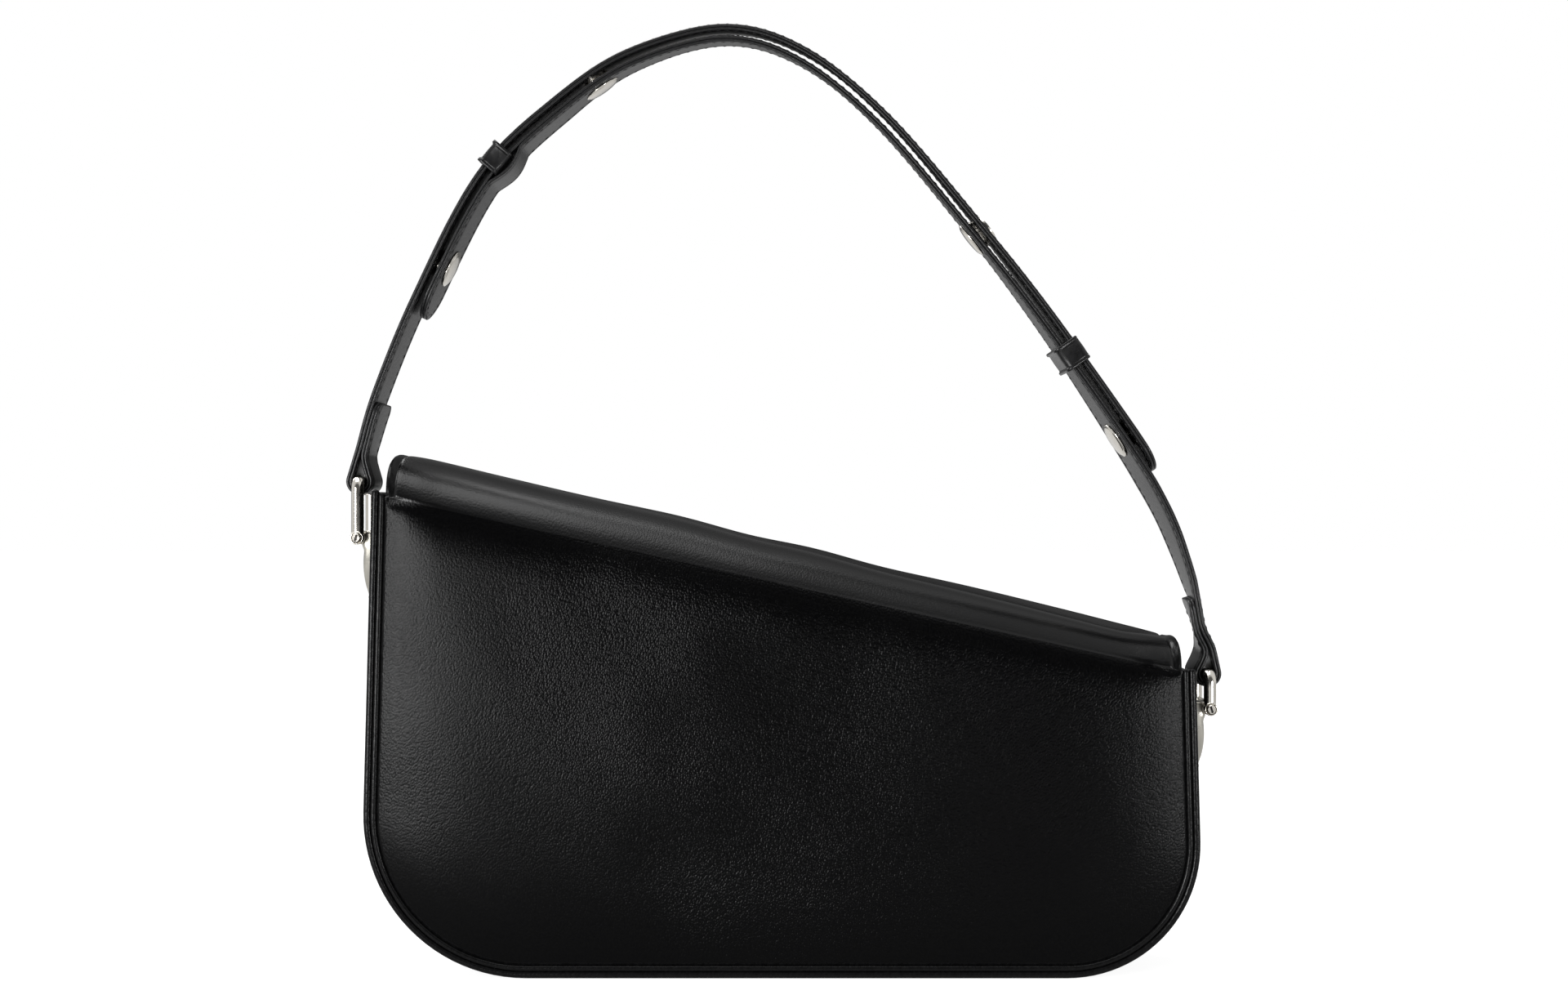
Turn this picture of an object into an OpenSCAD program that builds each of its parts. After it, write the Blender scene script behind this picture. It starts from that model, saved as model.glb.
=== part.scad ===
// Small flap shoulder bag with a taller left side, drawn from behind.
// X runs along the bag, +Y is the side of the flap, and Z is up from the flat base.

/* [Body] */
// Width over the side seams at the bottom corners
body_w = 257.5; // [230:0.5:290]
// Depth between the outer faces of the two rolled edges
body_d = 50; // [40:1:70]
// Height of the mouth at the left side
left_h = 149.5; // [135:0.5:165]
// Height of the mouth at the right side
right_h = 93; // [85:0.5:110]
// Radius of the bottom left corner
left_corner_r = 50; // [40:1:60]
// Radius of the bottom right corner
right_corner_r = 41; // [40:1:50]
// Angle by which each side leans inward, in degrees
side_lean = 1.5; // [0.5:0.1:3]
// Thickness of the gusset leather
gusset_t = 1.6; // [1.2:0.1:2.2]

/* [Seams and panels] */
// Radius of the rolled edge
edging_r = 1.15; // [0.8:0.05:1.6]
// Flat part of the rolled edge, between the gusset and its round nose
edging_flat = 1.25; // [0.8:0.05:2]
// Radius of the thin piping
piping_r = 0.9; // [0.6:0.05:1.2]
// Thickness of a panel along its seam
panel_rim_t = 1.6; // [1.2:0.1:2.4]
// Height of the padded step beside the piping
panel_step = 1; // [0.6:0.1:1.6]
// How far the padding of the rear panel stands out
rear_crown = 3; // [1.5:0.1:5]
// Width of the slope where the padding rises
crown_w = 34; // [20:1:35]

/* [Flap] */
// Height of the flap's top over the mouth at the left
left_rise = 14; // [12:0.5:18]
// Height of the flap's top over the mouth at the right
right_rise = 10.5; // [10:0.5:14]
// Height of the flap's hem over the base
hem_z = 28; // [20:1:40]
// Radius of the flap's left corner
flap_left_r = 44; // [40:1:52]
// Radius of the flap's right corner
flap_right_r = 38; // [38:1:44]
// Thickness of the flap's outer leather
flap_t = 1.8; // [1.4:0.1:2.4]
// Thickness of the flap's inner leather
flap_lining_t = 0.8; // [0.6:0.1:1.2]
// How far the padding of the flap stands out
flap_crown = 2.5; // [1:0.1:4]
// Radius of the rolled edge of the flap
flap_edging_r = 1.15; // [0.8:0.05:1.6]
// Radius of the magnets
magnet_r = 7; // [5:0.5:9]
// Height of the magnets over the hem
magnet_rise = 22; // [18:1:30]

/* [Rings] */
// Distance from the gusset to the middle of each ring
ring_off = 6.1; // [5.6:0.1:8]
// Radius of the ring's round wire
ring_r = 1.95; // [1.6:0.05:2.2]
// Half of the distance between the ring's two legs
leg_y = 12.2; // [11.5:0.1:14]
// Height from screw to top bar of the left ring
left_ring_h = 17.65; // [15:0.05:20]
// Height from screw to top bar of the right ring
right_ring_h = 10.75; // [10:0.05:14]
// Drop from the mouth to the left screw
left_drop = 13.9; // [12:0.1:18]
// Drop from the mouth to the right screw
right_drop = 11.7; // [10:0.1:16]
// Radius of the screw's shank
screw_r = 1; // [0.8:0.05:1.2]
// Height of the lug from the screw down to its ball
lug_h = 19; // [15:0.5:24]
// Thickness of the lug below its barrel
lug_t = 4.6; // [3.6:0.1:5.5]
// Radius of the ball at the lug's tip
ball_r = 0.9; // [0.7:0.05:1.3]

/* [Strap] */
// Width of both straps
strap_w = 19; // [16:0.5:19.4]
// Thickness of each strap
strap_t = 2; // [1.6:0.1:2.2]
// Gap between the two straps
strap_gap = 1.6; // [1.5:0.1:2.2]
// Height of the strap's arch over the line between the rings
strap_rise = 168; // [130:1:200]
// Length of the sewn end above each ring
return_l = 17; // [12:0.5:22]
// Length of a keeper along the strap
keeper_l = 8.3; // [6:0.1:12]
// Thickness of a keeper
keeper_t = 1.3; // [1.1:0.05:1.4]
// Radius of a snap's cap
cap_r = 6; // [4.5:0.1:7]

/* [Inside] */
// Thickness of the lining
lining_t = 1; // [0.8:0.1:1.6]
// Thickness of the base board
board_t = 1.9; // [1.5:0.1:3]
// Width of the slip pocket
pocket_w = 100; // [70:1:120]
// Height of the slip pocket
pocket_h = 58; // [40:1:66]

/* [Hidden] */
$fn = 48;

// Colours
leather = [0.1, 0.1, 0.11];
leather_edge = [0.05, 0.05, 0.06];
suede = [0.36, 0.35, 0.35];
board_grey = [0.5, 0.47, 0.42];
nickel = [0.78, 0.76, 0.72];

// Clearances and the overrun of every cut
soft_gap = 0.3;
run_gap = 0.05;
press_gap = 0.02;
over = 1;
mouth_over = 4;
pad_gap = 0.2;

// Faces across the depth, counted outward from the middle plane
seam_y = body_d / 2 - edging_flat - edging_r;
panel_lap = 0.6;
panel_in_y = seam_y - panel_lap;
rim_y = panel_in_y + panel_rim_t;
step_y = rim_y + panel_step;
rear_y = body_d / 2 + rear_crown;
front_y = body_d / 2;
lip = 2 * edging_r;
puff_in = lip + 2 * piping_r;
corner_steps = 16;
nose_steps = 6;

function dir2(a) = [cos(a), sin(a)];

// Mouth of the bag: a straight slope from the left side down to the right side
mouth_slope = (right_h - left_h) / body_w;
function mouth_z(x) = left_h + mouth_slope * (x + body_w / 2);

// An outline is [left corner centre, its radius, right corner centre, its radius]
body_o = [[-body_w / 2 + left_corner_r, left_corner_r], left_corner_r,
          [body_w / 2 - right_corner_r, right_corner_r], right_corner_r];

// Outline with its sides in by side_in, its own corner radii and its own lowest line.
// Its corner centres lie on a fine grid, so that straight and round stretches meet exactly.
grid = 0.05;
function on_grid(v) = grid * round(v / grid);
function nested(side_in, rl, rr, low) = [
    [body_o[0][0] + on_grid((sin(side_lean) * (low + rl - left_corner_r) + rl - left_corner_r
        + side_in) / cos(side_lean)), low + rl], rl,
    [body_o[2][0] - on_grid((sin(side_lean) * (low + rr - right_corner_r) + rr - right_corner_r
        + side_in) / cos(side_lean)), low + rr], rr];

// Outward normal, upward direction and foot of a straight side: side is -1 at left, 1 at right
function side_n(side) = [side * cos(side_lean), sin(side_lean)];
function side_up(side) = [-side * sin(side_lean), cos(side_lean)];
function side_foot(o, i, side) =
    (side < 0 ? o[0] : o[2]) + ((side < 0 ? o[1] : o[3]) - i) * side_n(side);
function side_run(o, i, side) =
    let (f = side_foot(o, i, side), u = side_up(side))
    (mouth_z(f[0]) - f[1]) / (u[1] - mouth_slope * u[0]);
function side_top(o, i, side) = side_foot(o, i, side) + side_run(o, i, side) * side_up(side);

// The open outline from the mouth at the left, round the bottom, to the mouth at the right
function u_curve(o, i) = concat(
    [side_top(o, i, -1)],
    [for (k = [0:corner_steps]) let (a = 180 - side_lean + k * (90 + side_lean) / corner_steps)
        o[0] + (o[1] - i) * [cos(a), sin(a)]],
    [for (k = [0:corner_steps]) let (a = 270 + k * (90 + side_lean) / corner_steps)
        o[2] + (o[3] - i) * [cos(a), sin(a)]],
    [side_top(o, i, 1)]);

// Filled outline in two true arcs, with its top edge raised by up
module outline_2d(o, i, up = 0) {
    translate(o[0]) circle(o[1] - i);
    translate(o[2]) circle(o[3] - i);
    polygon([
        side_top(o, i, -1) + up * side_up(-1), side_foot(o, i, -1), o[0],
        [o[0][0], o[0][1] - o[1] + i], [o[2][0], o[2][1] - o[3] + i],
        o[2], side_foot(o, i, 1), side_top(o, i, 1) + up * side_up(1)]);
}

// Turns a drawing with y as height so that it stands up; its z then runs to the rear
module stand() {
    rotate([90, 0, 0]) children();
}

// Sheet with the outline, from depth y0 to depth y1 (both positive to the front)
module sheet(o, i, y0, y1, up = 0) {
    translate([0, y1, 0]) stand() linear_extrude(y1 - y0) outline_2d(o, i, up);
}

// Sheet with its corners in short straight stretches, to lie against a swept edging
module facet_sheet(o, i, y0, y1) {
    translate([0, y1, 0]) stand() linear_extrude(y1 - y0) polygon(u_curve(o, i));
}

// Sweeps a closed section of [outward, to the rear] points round the outline, in by i.
// The section runs counterclockwise and is mitred square to each stretch.
module seam_sweep(o, i, section) {
    path = u_curve(o, i);
    n = len(path);
    m = len(section);
    normals = concat([side_n(-1)],
        [for (k = [0:corner_steps]) dir2(180 - side_lean + k * (90 + side_lean) / corner_steps)],
        [for (k = [0:corner_steps]) dir2(270 + k * (90 + side_lean) / corner_steps)],
        [side_n(1)]);
    pts = [for (k = [0:n - 1]) for (q = section)
        [path[k][0] + q[0] * normals[k][0], -q[1], path[k][1] + q[0] * normals[k][1]]];
    polyhedron(pts, concat(
        [for (k = [0:n - 2], j = [0:m - 1]) let (j2 = (j + 1) % m)
            [k * m + j, (k + 1) * m + j2, k * m + j2]],
        [for (k = [0:n - 2], j = [0:m - 1]) let (j2 = (j + 1) % m)
            [k * m + j, (k + 1) * m + j, (k + 1) * m + j2]],
        [[for (j = [0:m - 1]) j]],
        [[for (j = [m - 1:-1:0]) (n - 1) * m + j]]));
}

// Share of the full height that padding has reached at a share s of its slope
slope_power = 3.2;
function puff(s) = 1 - pow(1 - max(0, min(1, s)), slope_power);

// Where the rings of a padded panel lie, as shares of the slope's width
slope_shares = [0, 0.03, 0.09, 0.18, 0.32, 0.5, 0.72, 1];

// Padded panel: rings is a list of [inset, height], and in_y is its flat back.
// It is drawn for the front; the rear one is its mirror image.
module padded_panel(o, rings, in_y) {
    n = len(u_curve(o, 0));
    last = len(rings) - 1;
    pts = concat(
        [for (r = rings) for (p = u_curve(o, r[0])) [p[0], r[1], p[1]]],
        [for (p = u_curve(o, rings[0][0])) [p[0], in_y, p[1]]]);
    back = (last + 1) * n;
    polyhedron(pts, concat(
        [for (k = [0:last - 1], j = [0:n - 2]) [k * n + j, k * n + j + 1, (k + 1) * n + j + 1]],
        [for (k = [0:last - 1], j = [0:n - 2])
            [k * n + j, (k + 1) * n + j + 1, (k + 1) * n + j]],
        [[for (j = [0:n - 1]) last * n + j]],
        [for (j = [0:n - 2]) [back + j, back + j + 1, j + 1]],
        [for (j = [0:n - 2]) [back + j, j + 1, j]],
        [[for (j = [n - 1:-1:0]) back + j]],
        [concat([back], [for (k = [0:last]) k * n], [for (k = [last:-1:0]) k * n + n - 1],
            [back + n - 1])]));
}

function panel_rings(full_y) = concat(
    [[lip, rim_y], [puff_in, rim_y]],
    [for (s = slope_shares) [puff_in + pad_gap + s * crown_w, step_y + (full_y - step_y) * puff(s)]]);

module rear_panel() {
    color(leather) mirror([0, 1, 0])
        padded_panel(body_o, panel_rings(rear_y), panel_in_y);
}

module front_panel() {
    color(leather) difference() {
        padded_panel(body_o, panel_rings(front_y), panel_in_y);
        translate([0, front_y + over, magnet_z]) stand() cylinder(r = magnet_r + soft_gap / 2,
            h = front_magnet_t - magnet_proud + over);
    }
}

// Gusset, with holes for the screws that hold the lugs
module gusset() {
    color(leather) difference() {
        stand() linear_extrude(2 * seam_y, center = true) difference() {
            outline_2d(body_o, 0);
            outline_2d(body_o, gusset_t, mouth_over);
        }
        for (side = [-1, 1]) lug_screw_places(side) translate([-over, 0, 0])
            rotate([0, 90, 0]) cylinder(r = lug_screw_r + press_gap, h = gusset_t + 2 * over);
    }
}

// Section of a round nose on a flat foot, which stands on y0
function nose_section(r, flat, y0) = concat([[-r, y0], [r, y0]],
    [for (k = [0:nose_steps]) [0, y0 + flat] + r * dir2(180 * k / nose_steps)]);

module seam_edging() {
    color(leather_edge)
        seam_sweep(body_o, edging_r, nose_section(edging_r, edging_flat, seam_y));
}

module rear_edging() {
    seam_edging();
}

module front_edging() {
    mirror([0, 1, 0]) seam_edging();
}

module seam_piping() {
    color(leather_edge)
        seam_sweep(body_o, lip + piping_r, nose_section(piping_r, piping_r, rim_y));
}

module rear_piping() {
    seam_piping();
}

module front_piping() {
    mirror([0, 1, 0]) seam_piping();
}

// Puts children on a side: origin on the gusset's outer face, +X inward, Z up the side.
// down is the distance below the mouth.
module on_side(side, down) {
    p = side_top(body_o, 0, side) - down * side_up(side);
    translate([p[0], 0, p[1]]) rotate([0, -side * side_lean, 0])
        mirror([side > 0 ? 1 : 0, 0, 0]) children();
}

// Binding: a folded strip over the top edge of the gusset
binding_t = 0.6;
binding_h = 4;
binding_slot = binding_h - gusset_t * mouth_slope + press_gap;
module gusset_binding(side) {
    color(leather_edge) on_side(side, binding_h) difference() {
        translate([-binding_t, -seam_y, 0])
            cube([gusset_t + 2 * binding_t, 2 * seam_y, binding_slot + binding_t]);
        translate([0, -seam_y - over, -over])
            cube([gusset_t, 2 * (seam_y + over), binding_slot + over]);
    }
}

module left_gusset_binding() {
    gusset_binding(-1);
}

module right_gusset_binding() {
    gusset_binding(1);
}

// Inside: board on the gusset, lining on the board, pocket on the lining
lining_in = gusset_t + board_t;
lining_drop = 3;
module lining() {
    color(suede) difference() {
        sheet(body_o, lining_in, -panel_in_y, panel_in_y, -lining_drop);
        sheet(body_o, lining_in + lining_t, lining_t - panel_in_y, panel_in_y - lining_t, mouth_over);
    }
}

board_margin = 1;
module base_board() {
    color(board_grey) translate([body_o[0][0], board_margin - panel_in_y, gusset_t])
        cube([body_o[2][0] - body_o[0][0], 2 * (panel_in_y - board_margin), board_t]);
}

pocket_t = 0.8;
pocket_room = 0.8;
pocket_seam = 2.5;
pocket_low = 22;
module inner_pocket() {
    color(suede) translate([-pocket_w / 2, lining_t - panel_in_y, pocket_low]) difference() {
        cube([pocket_w, pocket_room + pocket_t, pocket_h]);
        translate([pocket_seam, -over, pocket_seam])
            cube([pocket_w - 2 * pocket_seam, over + pocket_room, pocket_h]);
    }
}

// Lug: a horn-shaped plate with a barrel for the ring's screw and a ball at its tip
screw_head_r = 1.6;
screw_head_t = 1;
eye_more = 0.15;
barrel_r = ring_r + eye_more;
eye_half = ring_r + eye_more;
barrel_y = leg_y - eye_half - 2 * run_gap;
lug_screw_r = 0.9;
lug_screw_y = 6;
lug_screw_deep = 2.4;
plate_t = 0.8;
plate_w = 17;
plate_h = 9;
slot_w = 0.5;
slot_tilt = 17;

function bezier(a, b, c, n) = [for (k = [0:n]) let (t = k / n)
    (1 - t) * (1 - t) * a + 2 * t * (1 - t) * b + t * t * c];

// Places of the two screws of a lug, on the gusset's outer face with +X inward
module lug_screw_places(side) {
    for (y = [-1, 1]) on_side(side, (side < 0 ? left_drop : right_drop))
        translate([0, y * lug_screw_y, 0]) children();
}

// Side view of the horn: x outward from the gusset, y up from the screw
neck_r = ball_r * 0.66;
tip_x = lug_t * 0.76;
neck_z = ball_r * 0.5 - lug_h;
module horn_profile() {
    polygon(concat(
        [[0, barrel_r]],
        bezier([0, -lug_h * 0.36], [lug_t * 0.06, -lug_h * 0.68], [tip_x - neck_r, neck_z], 8),
        bezier([tip_x + neck_r, neck_z], [lug_t * 1.36, -lug_h * 0.56],
            [lug_t, -barrel_r], 8),
        [[ring_off, -barrel_r], [ring_off, barrel_r]]));
    translate([ring_off, 0]) circle(barrel_r);
}

// Front view of the horn: half of its width as the height runs down to the ball
module horn_plan() {
    side_curve = bezier([barrel_y, -barrel_r], [barrel_y * 0.85, -lug_h * 0.6],
        [neck_r, neck_z], 10);
    polygon(concat([[barrel_y, barrel_r + over]], side_curve,
        [for (k = [len(side_curve) - 1:-1:0]) [-side_curve[k][0], side_curve[k][1]]],
        [[-barrel_y, barrel_r + over]]));
}

module lug(side) {
    color(nickel) on_side(side, (side < 0 ? left_drop : right_drop)) mirror([1, 0, 0])
        difference() {
            union() {
                intersection() {
                    stand() linear_extrude(2 * barrel_y, center = true) horn_profile();
                    translate([-over, 0, 0]) rotate([90, 0, 90])
                        linear_extrude(ring_off + barrel_r + 2 * over) horn_plan();
                }
                translate([tip_x, 0, -lug_h]) sphere(ball_r);
            }
            translate([ring_off, 0, 0]) stand()
                cylinder(r = screw_r + press_gap, h = 2 * (barrel_y + over), center = true);
            for (y = [-lug_screw_y, lug_screw_y]) translate([-over, y, 0]) rotate([0, 90, 0])
                cylinder(r = lug_screw_r + press_gap, h = over + lug_screw_deep);
        }
}

module left_lug() {
    lug(-1);
}

module right_lug() {
    lug(1);
}

module backing_plate(side) {
    color(nickel) difference() {
        on_side(side, (side < 0 ? left_drop : right_drop))
            translate([gusset_t, -plate_w / 2, -plate_h / 2]) cube([plate_t, plate_w, plate_h]);
        lug_screw_places(side) rotate([0, 90, 0])
            cylinder(r = lug_screw_r + press_gap, h = gusset_t + plate_t + over);
    }
}

module left_backing_plate() {
    backing_plate(-1);
}

module right_backing_plate() {
    backing_plate(1);
}

// Screws from the inside, through plate and gusset, into the lug
lug_head_r = 1.8;
lug_head_t = 0.8;
module lug_screws(side) {
    color(nickel) lug_screw_places(side) {
        translate([-lug_screw_deep, 0, 0]) rotate([0, 90, 0])
            cylinder(r = lug_screw_r, h = lug_screw_deep + gusset_t + plate_t);
        translate([gusset_t + plate_t, 0, 0]) rotate([0, 90, 0])
            cylinder(r = lug_head_r, h = lug_head_t);
    }
}

module left_lug_screws() {
    lug_screws(-1);
}

module right_lug_screws() {
    lug_screws(1);
}

// Middle of a ring's screw, and of its top bar, as [x, z]
function screw_at(side) = side_top(body_o, 0, side)
    - (side < 0 ? left_drop : right_drop) * side_up(side) + ring_off * side_n(side);
function ring_h(side) = side < 0 ? left_ring_h : right_ring_h;
function bar_at(side) = screw_at(side) + [0, ring_h(side)];

// Screw along Y with a slotted head at the rear and a turned-over end at the front
module ring_screw(side) {
    end_y = leg_y + eye_half + run_gap;
    p = screw_at(side);
    color(nickel) translate([p[0], 0, p[1]]) {
        stand() cylinder(r = screw_r, h = 2 * end_y, center = true);
        translate([0, end_y + screw_head_t, 0]) stand() cylinder(r = screw_head_r, h = screw_head_t);
        difference() {
            translate([0, -end_y, 0]) stand() cylinder(r = screw_head_r, h = screw_head_t);
            rotate([0, 90 - side * slot_tilt, 0])
                translate([-screw_head_r - over, -end_y - screw_head_t - over, -slot_w / 2])
                cube([2 * (screw_head_r + over), over + screw_head_t / 2, slot_w]);
        }
    }
}

module left_screw() {
    ring_screw(-1);
}

module right_screw() {
    ring_screw(1);
}

// Ring: two legs with eyes, and a top bar with round corners
bend_more = 0.55;
bend_r = ring_r + bend_more;
module ring(side) {
    h = ring_h(side);
    p = screw_at(side);
    color(nickel) translate([p[0], 0, p[1]]) difference() {
        union() {
            for (y = [-leg_y, leg_y]) translate([0, y, 0]) {
                cylinder(r = ring_r, h = h - bend_r);
                stand() cylinder(r = barrel_r, h = 2 * eye_half, center = true);
            }
            translate([0, 0, h]) stand()
                cylinder(r = ring_r, h = 2 * (leg_y - bend_r), center = true);
            for (s = [-1, 1]) translate([0, s * (leg_y - bend_r), h - bend_r])
                rotate([90, 0, s > 0 ? 90 : 270]) rotate_extrude(angle = 90)
                translate([bend_r, 0]) circle(ring_r);
        }
        stand() cylinder(r = screw_r + run_gap, h = 2 * (leg_y + ring_r + over), center = true);
    }
}

module left_ring() {
    ring(-1);
}

module right_ring() {
    ring(1);
}

// Strap route: the middle of the gap between the two straps, from left ring to right ring.
// Each knot is [share of the way across, share of the rise over the line between the rings].
arch_shares = [
    [0.026, 0.172], [0.073, 0.369], [0.148, 0.623], [0.237, 0.794], [0.32, 0.913],
    [0.429, 0.999], [0.522, 0.992], [0.617, 0.906], [0.727, 0.741], [0.812, 0.596],
    [0.905, 0.413], [0.955, 0.299], [0.982, 0.206], [0.999, 0.125]
];
half_gap = strap_gap / 2;
loop_gap = 0.25;
loop_steps = 24;
loop_r = ring_r + loop_gap;
join_rise = 5.6;
left_join_in = 0.1;
right_join_out = 0.6;
left_join = bar_at(-1) + [half_gap + left_join_in, loop_r + join_rise];
right_join = bar_at(1) + [half_gap + strap_t + right_join_out, loop_r + join_rise];
knots = concat([left_join],
    [for (s = arch_shares) bar_at(-1) + s[0] * (bar_at(1) - bar_at(-1)) + [0, s[1] * strap_rise]],
    [right_join]);
last_knot = len(knots) - 1;

// A point of the route and the slope of its tangent, at a place counted in knots
function knot(k) = k < 0 ? 2 * knots[0] - knots[1]
    : k > last_knot ? 2 * knots[last_knot] - knots[last_knot - 1] : knots[k];
function route(t) =
    let (k = max(0, min(last_knot - 1, floor(t))), u = t - k,
         a = knot(k - 1), b = knot(k), c = knot(k + 1), d = knot(k + 2))
    0.5 * (2 * b + u * (c - a) + u * u * (2 * a - 5 * b + 4 * c - d)
        + u * u * u * (3 * b - a - 3 * c + d));
function route_angle(t) =
    let (e = 0.01, p = route(max(0, t - e)), q = route(min(last_knot, t + e)))
    atan2(q[1] - p[1], q[0] - p[0]);
function beside(t, off) =
    let (a = route_angle(t)) route(t) + off * [-sin(a), cos(a)];

// Moves children onto the route: +X along it, +Z outward
module on_route(t) {
    p = route(t);
    translate([p[0], 0, p[1]]) rotate([0, -route_angle(t), 0]) children();
}

// Route places between two ends, four to a knot
function stations(t0, t1) = concat([t0],
    [for (k = [ceil(t0 * 4 + 0.2):floor(t1 * 4 - 0.2)]) k / 4], [t1]);

// Length of a knot's stretch, and the place a given distance on from t
knot_share = 0.25;
function knot_len(t) = norm(route(t + knot_share) - route(t - knot_share)) / (2 * knot_share);
function along(t, dist) = t
    + dist / knot_len(max(knot_share, min(last_knot - knot_share, t + knot_share * sign(dist))));

function flip(list) = [for (k = [len(list) - 1:-1:0]) list[k]];

// Side view of a strap that lies from offset low to offset high. It runs from its free end at
// place tip to its loop round the bar at place join, and back beside itself to place back.
// side is -1 at the left ring and 1 at the right; low_side is the strap's own inner edge.
module strap_2d(side, tip, join, back, low, high, low_side) {
    c = bar_at(side);
    p = beside(join, high);
    q = beside(join, low - strap_t);
    r = loop_r + strap_t;
    a0 = atan2(p[1] - c[1], p[0] - c[0]) - side * acos(r / norm(p - c));
    a1 = atan2(q[1] - c[1], q[0] - c[0]) + side * acos(r / norm(q - c)) - side * 360;
    bend = [for (k = [0:loop_steps]) c + r * dir2(a0 + (a1 - a0) * k / loop_steps)];
    near = side < 0 ? flip(stations(join, tip)) : stations(tip, join);
    home = side < 0 ? stations(join, back) : flip(stations(back, join));
    apex = (p + q) / 2 - strap_t / 2 * dir2(atan2(p[1] + q[1] - 2 * c[1], p[0] + q[0] - 2 * c[0]));
    lean = acos(loop_r / norm(apex - c));
    up = atan2(apex[1] - c[1], apex[0] - c[0]);
    difference() {
        polygon(concat([for (t = near) beside(t, high)], bend,
            [for (t = home) beside(t, low - strap_t)], low_side));
        polygon(concat([apex], [for (k = [0:loop_steps])
            c + loop_r * dir2(up + lean + (360 - 2 * lean) * k / loop_steps)]));
    }
}

// Cuts a strap's end to a half round; dir is 1 at its right end
module round_end(t, dir) {
    on_route(t) difference() {
        translate([dir > 0 ? 0 : -strap_w, -strap_w, -strap_w / 2])
            cube([strap_w, 2 * strap_w, strap_w]);
        cylinder(r = strap_w / 2, h = 2 * strap_w, center = true);
    }
}

module strap_slab() {
    stand() linear_extrude(strap_w, center = true) children();
}

// Places along the route, as shares of its knots
outer_tip_share = 0.7667;
inner_tip_share = 0.1233;
snap_shares = [0.1533, 0.3, 0.604, 0.7333];
left_keeper_share = 0.212;
right_keeper_share = 0.6867;
outer_tip = outer_tip_share * last_knot;
inner_tip = inner_tip_share * last_knot;
snap_places = [for (s = snap_shares) s * last_knot];
left_keeper_at = left_keeper_share * last_knot;
right_keeper_at = right_keeper_share * last_knot;
left_return_end = along(0, return_l);
right_return_end = along(last_knot, -return_l);

// Snap: cap and post under the inner strap, socket on it, stud under the outer strap, post head on it
post_r = 1.5;
cap_seat = 0.35;
socket_seat = 0.12;
stud_seat = 0.3;
head_seat = 0.12;
cap_h = 1.4;
socket_r = 5;
socket_floor = 0.2;
stud_r = 2.5;
stud_base_r = 4.5;
stud_base_t = 0.6;
head_r = 4;
head_t = 0.6;

module snap_holes() {
    for (t = snap_places) on_route(t)
        cylinder(r = post_r + press_gap, h = 4 * strap_t + 2 * strap_gap, center = true);
}

module outer_strap() {
    color(leather) difference() {
        strap_slab() strap_2d(-1, outer_tip, 0, left_return_end, half_gap, half_gap + strap_t,
            [for (t = stations(left_return_end, outer_tip)) beside(t, half_gap)]);
        round_end(along(outer_tip, -strap_w / 2), 1);
        snap_holes();
    }
}

// The lining of the inner strap bulges where the left keeper is sewn in
bulge_h = 2.1;
bulge_l = 16;
bulge_steps = 10;
bulge_from = along(left_keeper_at, -bulge_l / 2);
bulge_to = along(left_keeper_at, bulge_l / 2);
function bulge(u) = bulge_h * sin(180 * u);
function bulge_at(u) = bulge_from + (bulge_to - bulge_from) * u;

// Opening between the two layers of the bulge, for the left keeper's leg
layer_t = strap_t / 2;
opening_share = 0.1;
module keeper_opening() {
    us = [for (k = [0:bulge_steps]) opening_share + (1 - 2 * opening_share) * k / bulge_steps];
    stand() linear_extrude(strap_w + 2 * over, center = true) polygon(concat(
        [for (u = us) beside(bulge_at(u), -half_gap - layer_t)],
        [for (u = flip(us)) beside(bulge_at(u), layer_t - half_gap - strap_t - bulge(u))]));
}

module inner_strap() {
    low = -half_gap - strap_t;
    low_side = concat(
        [for (t = flip(stations(bulge_to, right_return_end))) beside(t, low)],
        [for (k = [bulge_steps - 1:-1:1]) let (u = k / bulge_steps)
            beside(bulge_at(u), low - bulge(u))],
        [for (t = flip(stations(inner_tip, bulge_from))) beside(t, low)]);
    color(leather) difference() {
        strap_slab() strap_2d(1, inner_tip, last_knot, right_return_end, low, -half_gap, low_side);
        round_end(along(inner_tip, strap_w / 2), -1);
        keeper_opening();
        snap_holes();
    }
}

// Keeper: a band with raised rims over one side, and a plain leg on the other at a depth of low.
// up is 1 where the rims are on the outer side. The left one's leg lies in the inner strap's bulge,
// and the right one goes round both straps.
keeper_rim_w = 1.1;
keeper_rim_h = 0.5;
keeper_room = 0.3;
keeper_play = 0.35;
keeper_leg_t = 0.8;
module keeper(t, up, low) {
    top = half_gap + strap_t + keeper_play;
    half_w = strap_w / 2 + keeper_room + keeper_t;
    color(leather) on_route(t) mirror([0, 0, up > 0 ? 0 : 1]) {
        difference() {
            translate([-keeper_l / 2, -half_w, -low - keeper_leg_t])
                cube([keeper_l, 2 * half_w, low + keeper_leg_t + top + keeper_t]);
            translate([-keeper_l / 2 - over, -half_w + keeper_t, -low])
                cube([keeper_l + 2 * over, 2 * (half_w - keeper_t), low + top]);
        }
        for (x = [-keeper_l / 2, keeper_l / 2 - keeper_rim_w])
            translate([x, -half_w, top + keeper_t]) cube([keeper_rim_w, 2 * half_w, keeper_rim_h]);
    }
}

module left_keeper() {
    keeper(left_keeper_at, 1, half_gap + layer_t + keeper_play);
}

module right_keeper() {
    keeper(right_keeper_at, -1, half_gap + strap_t + keeper_play);
}

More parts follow.
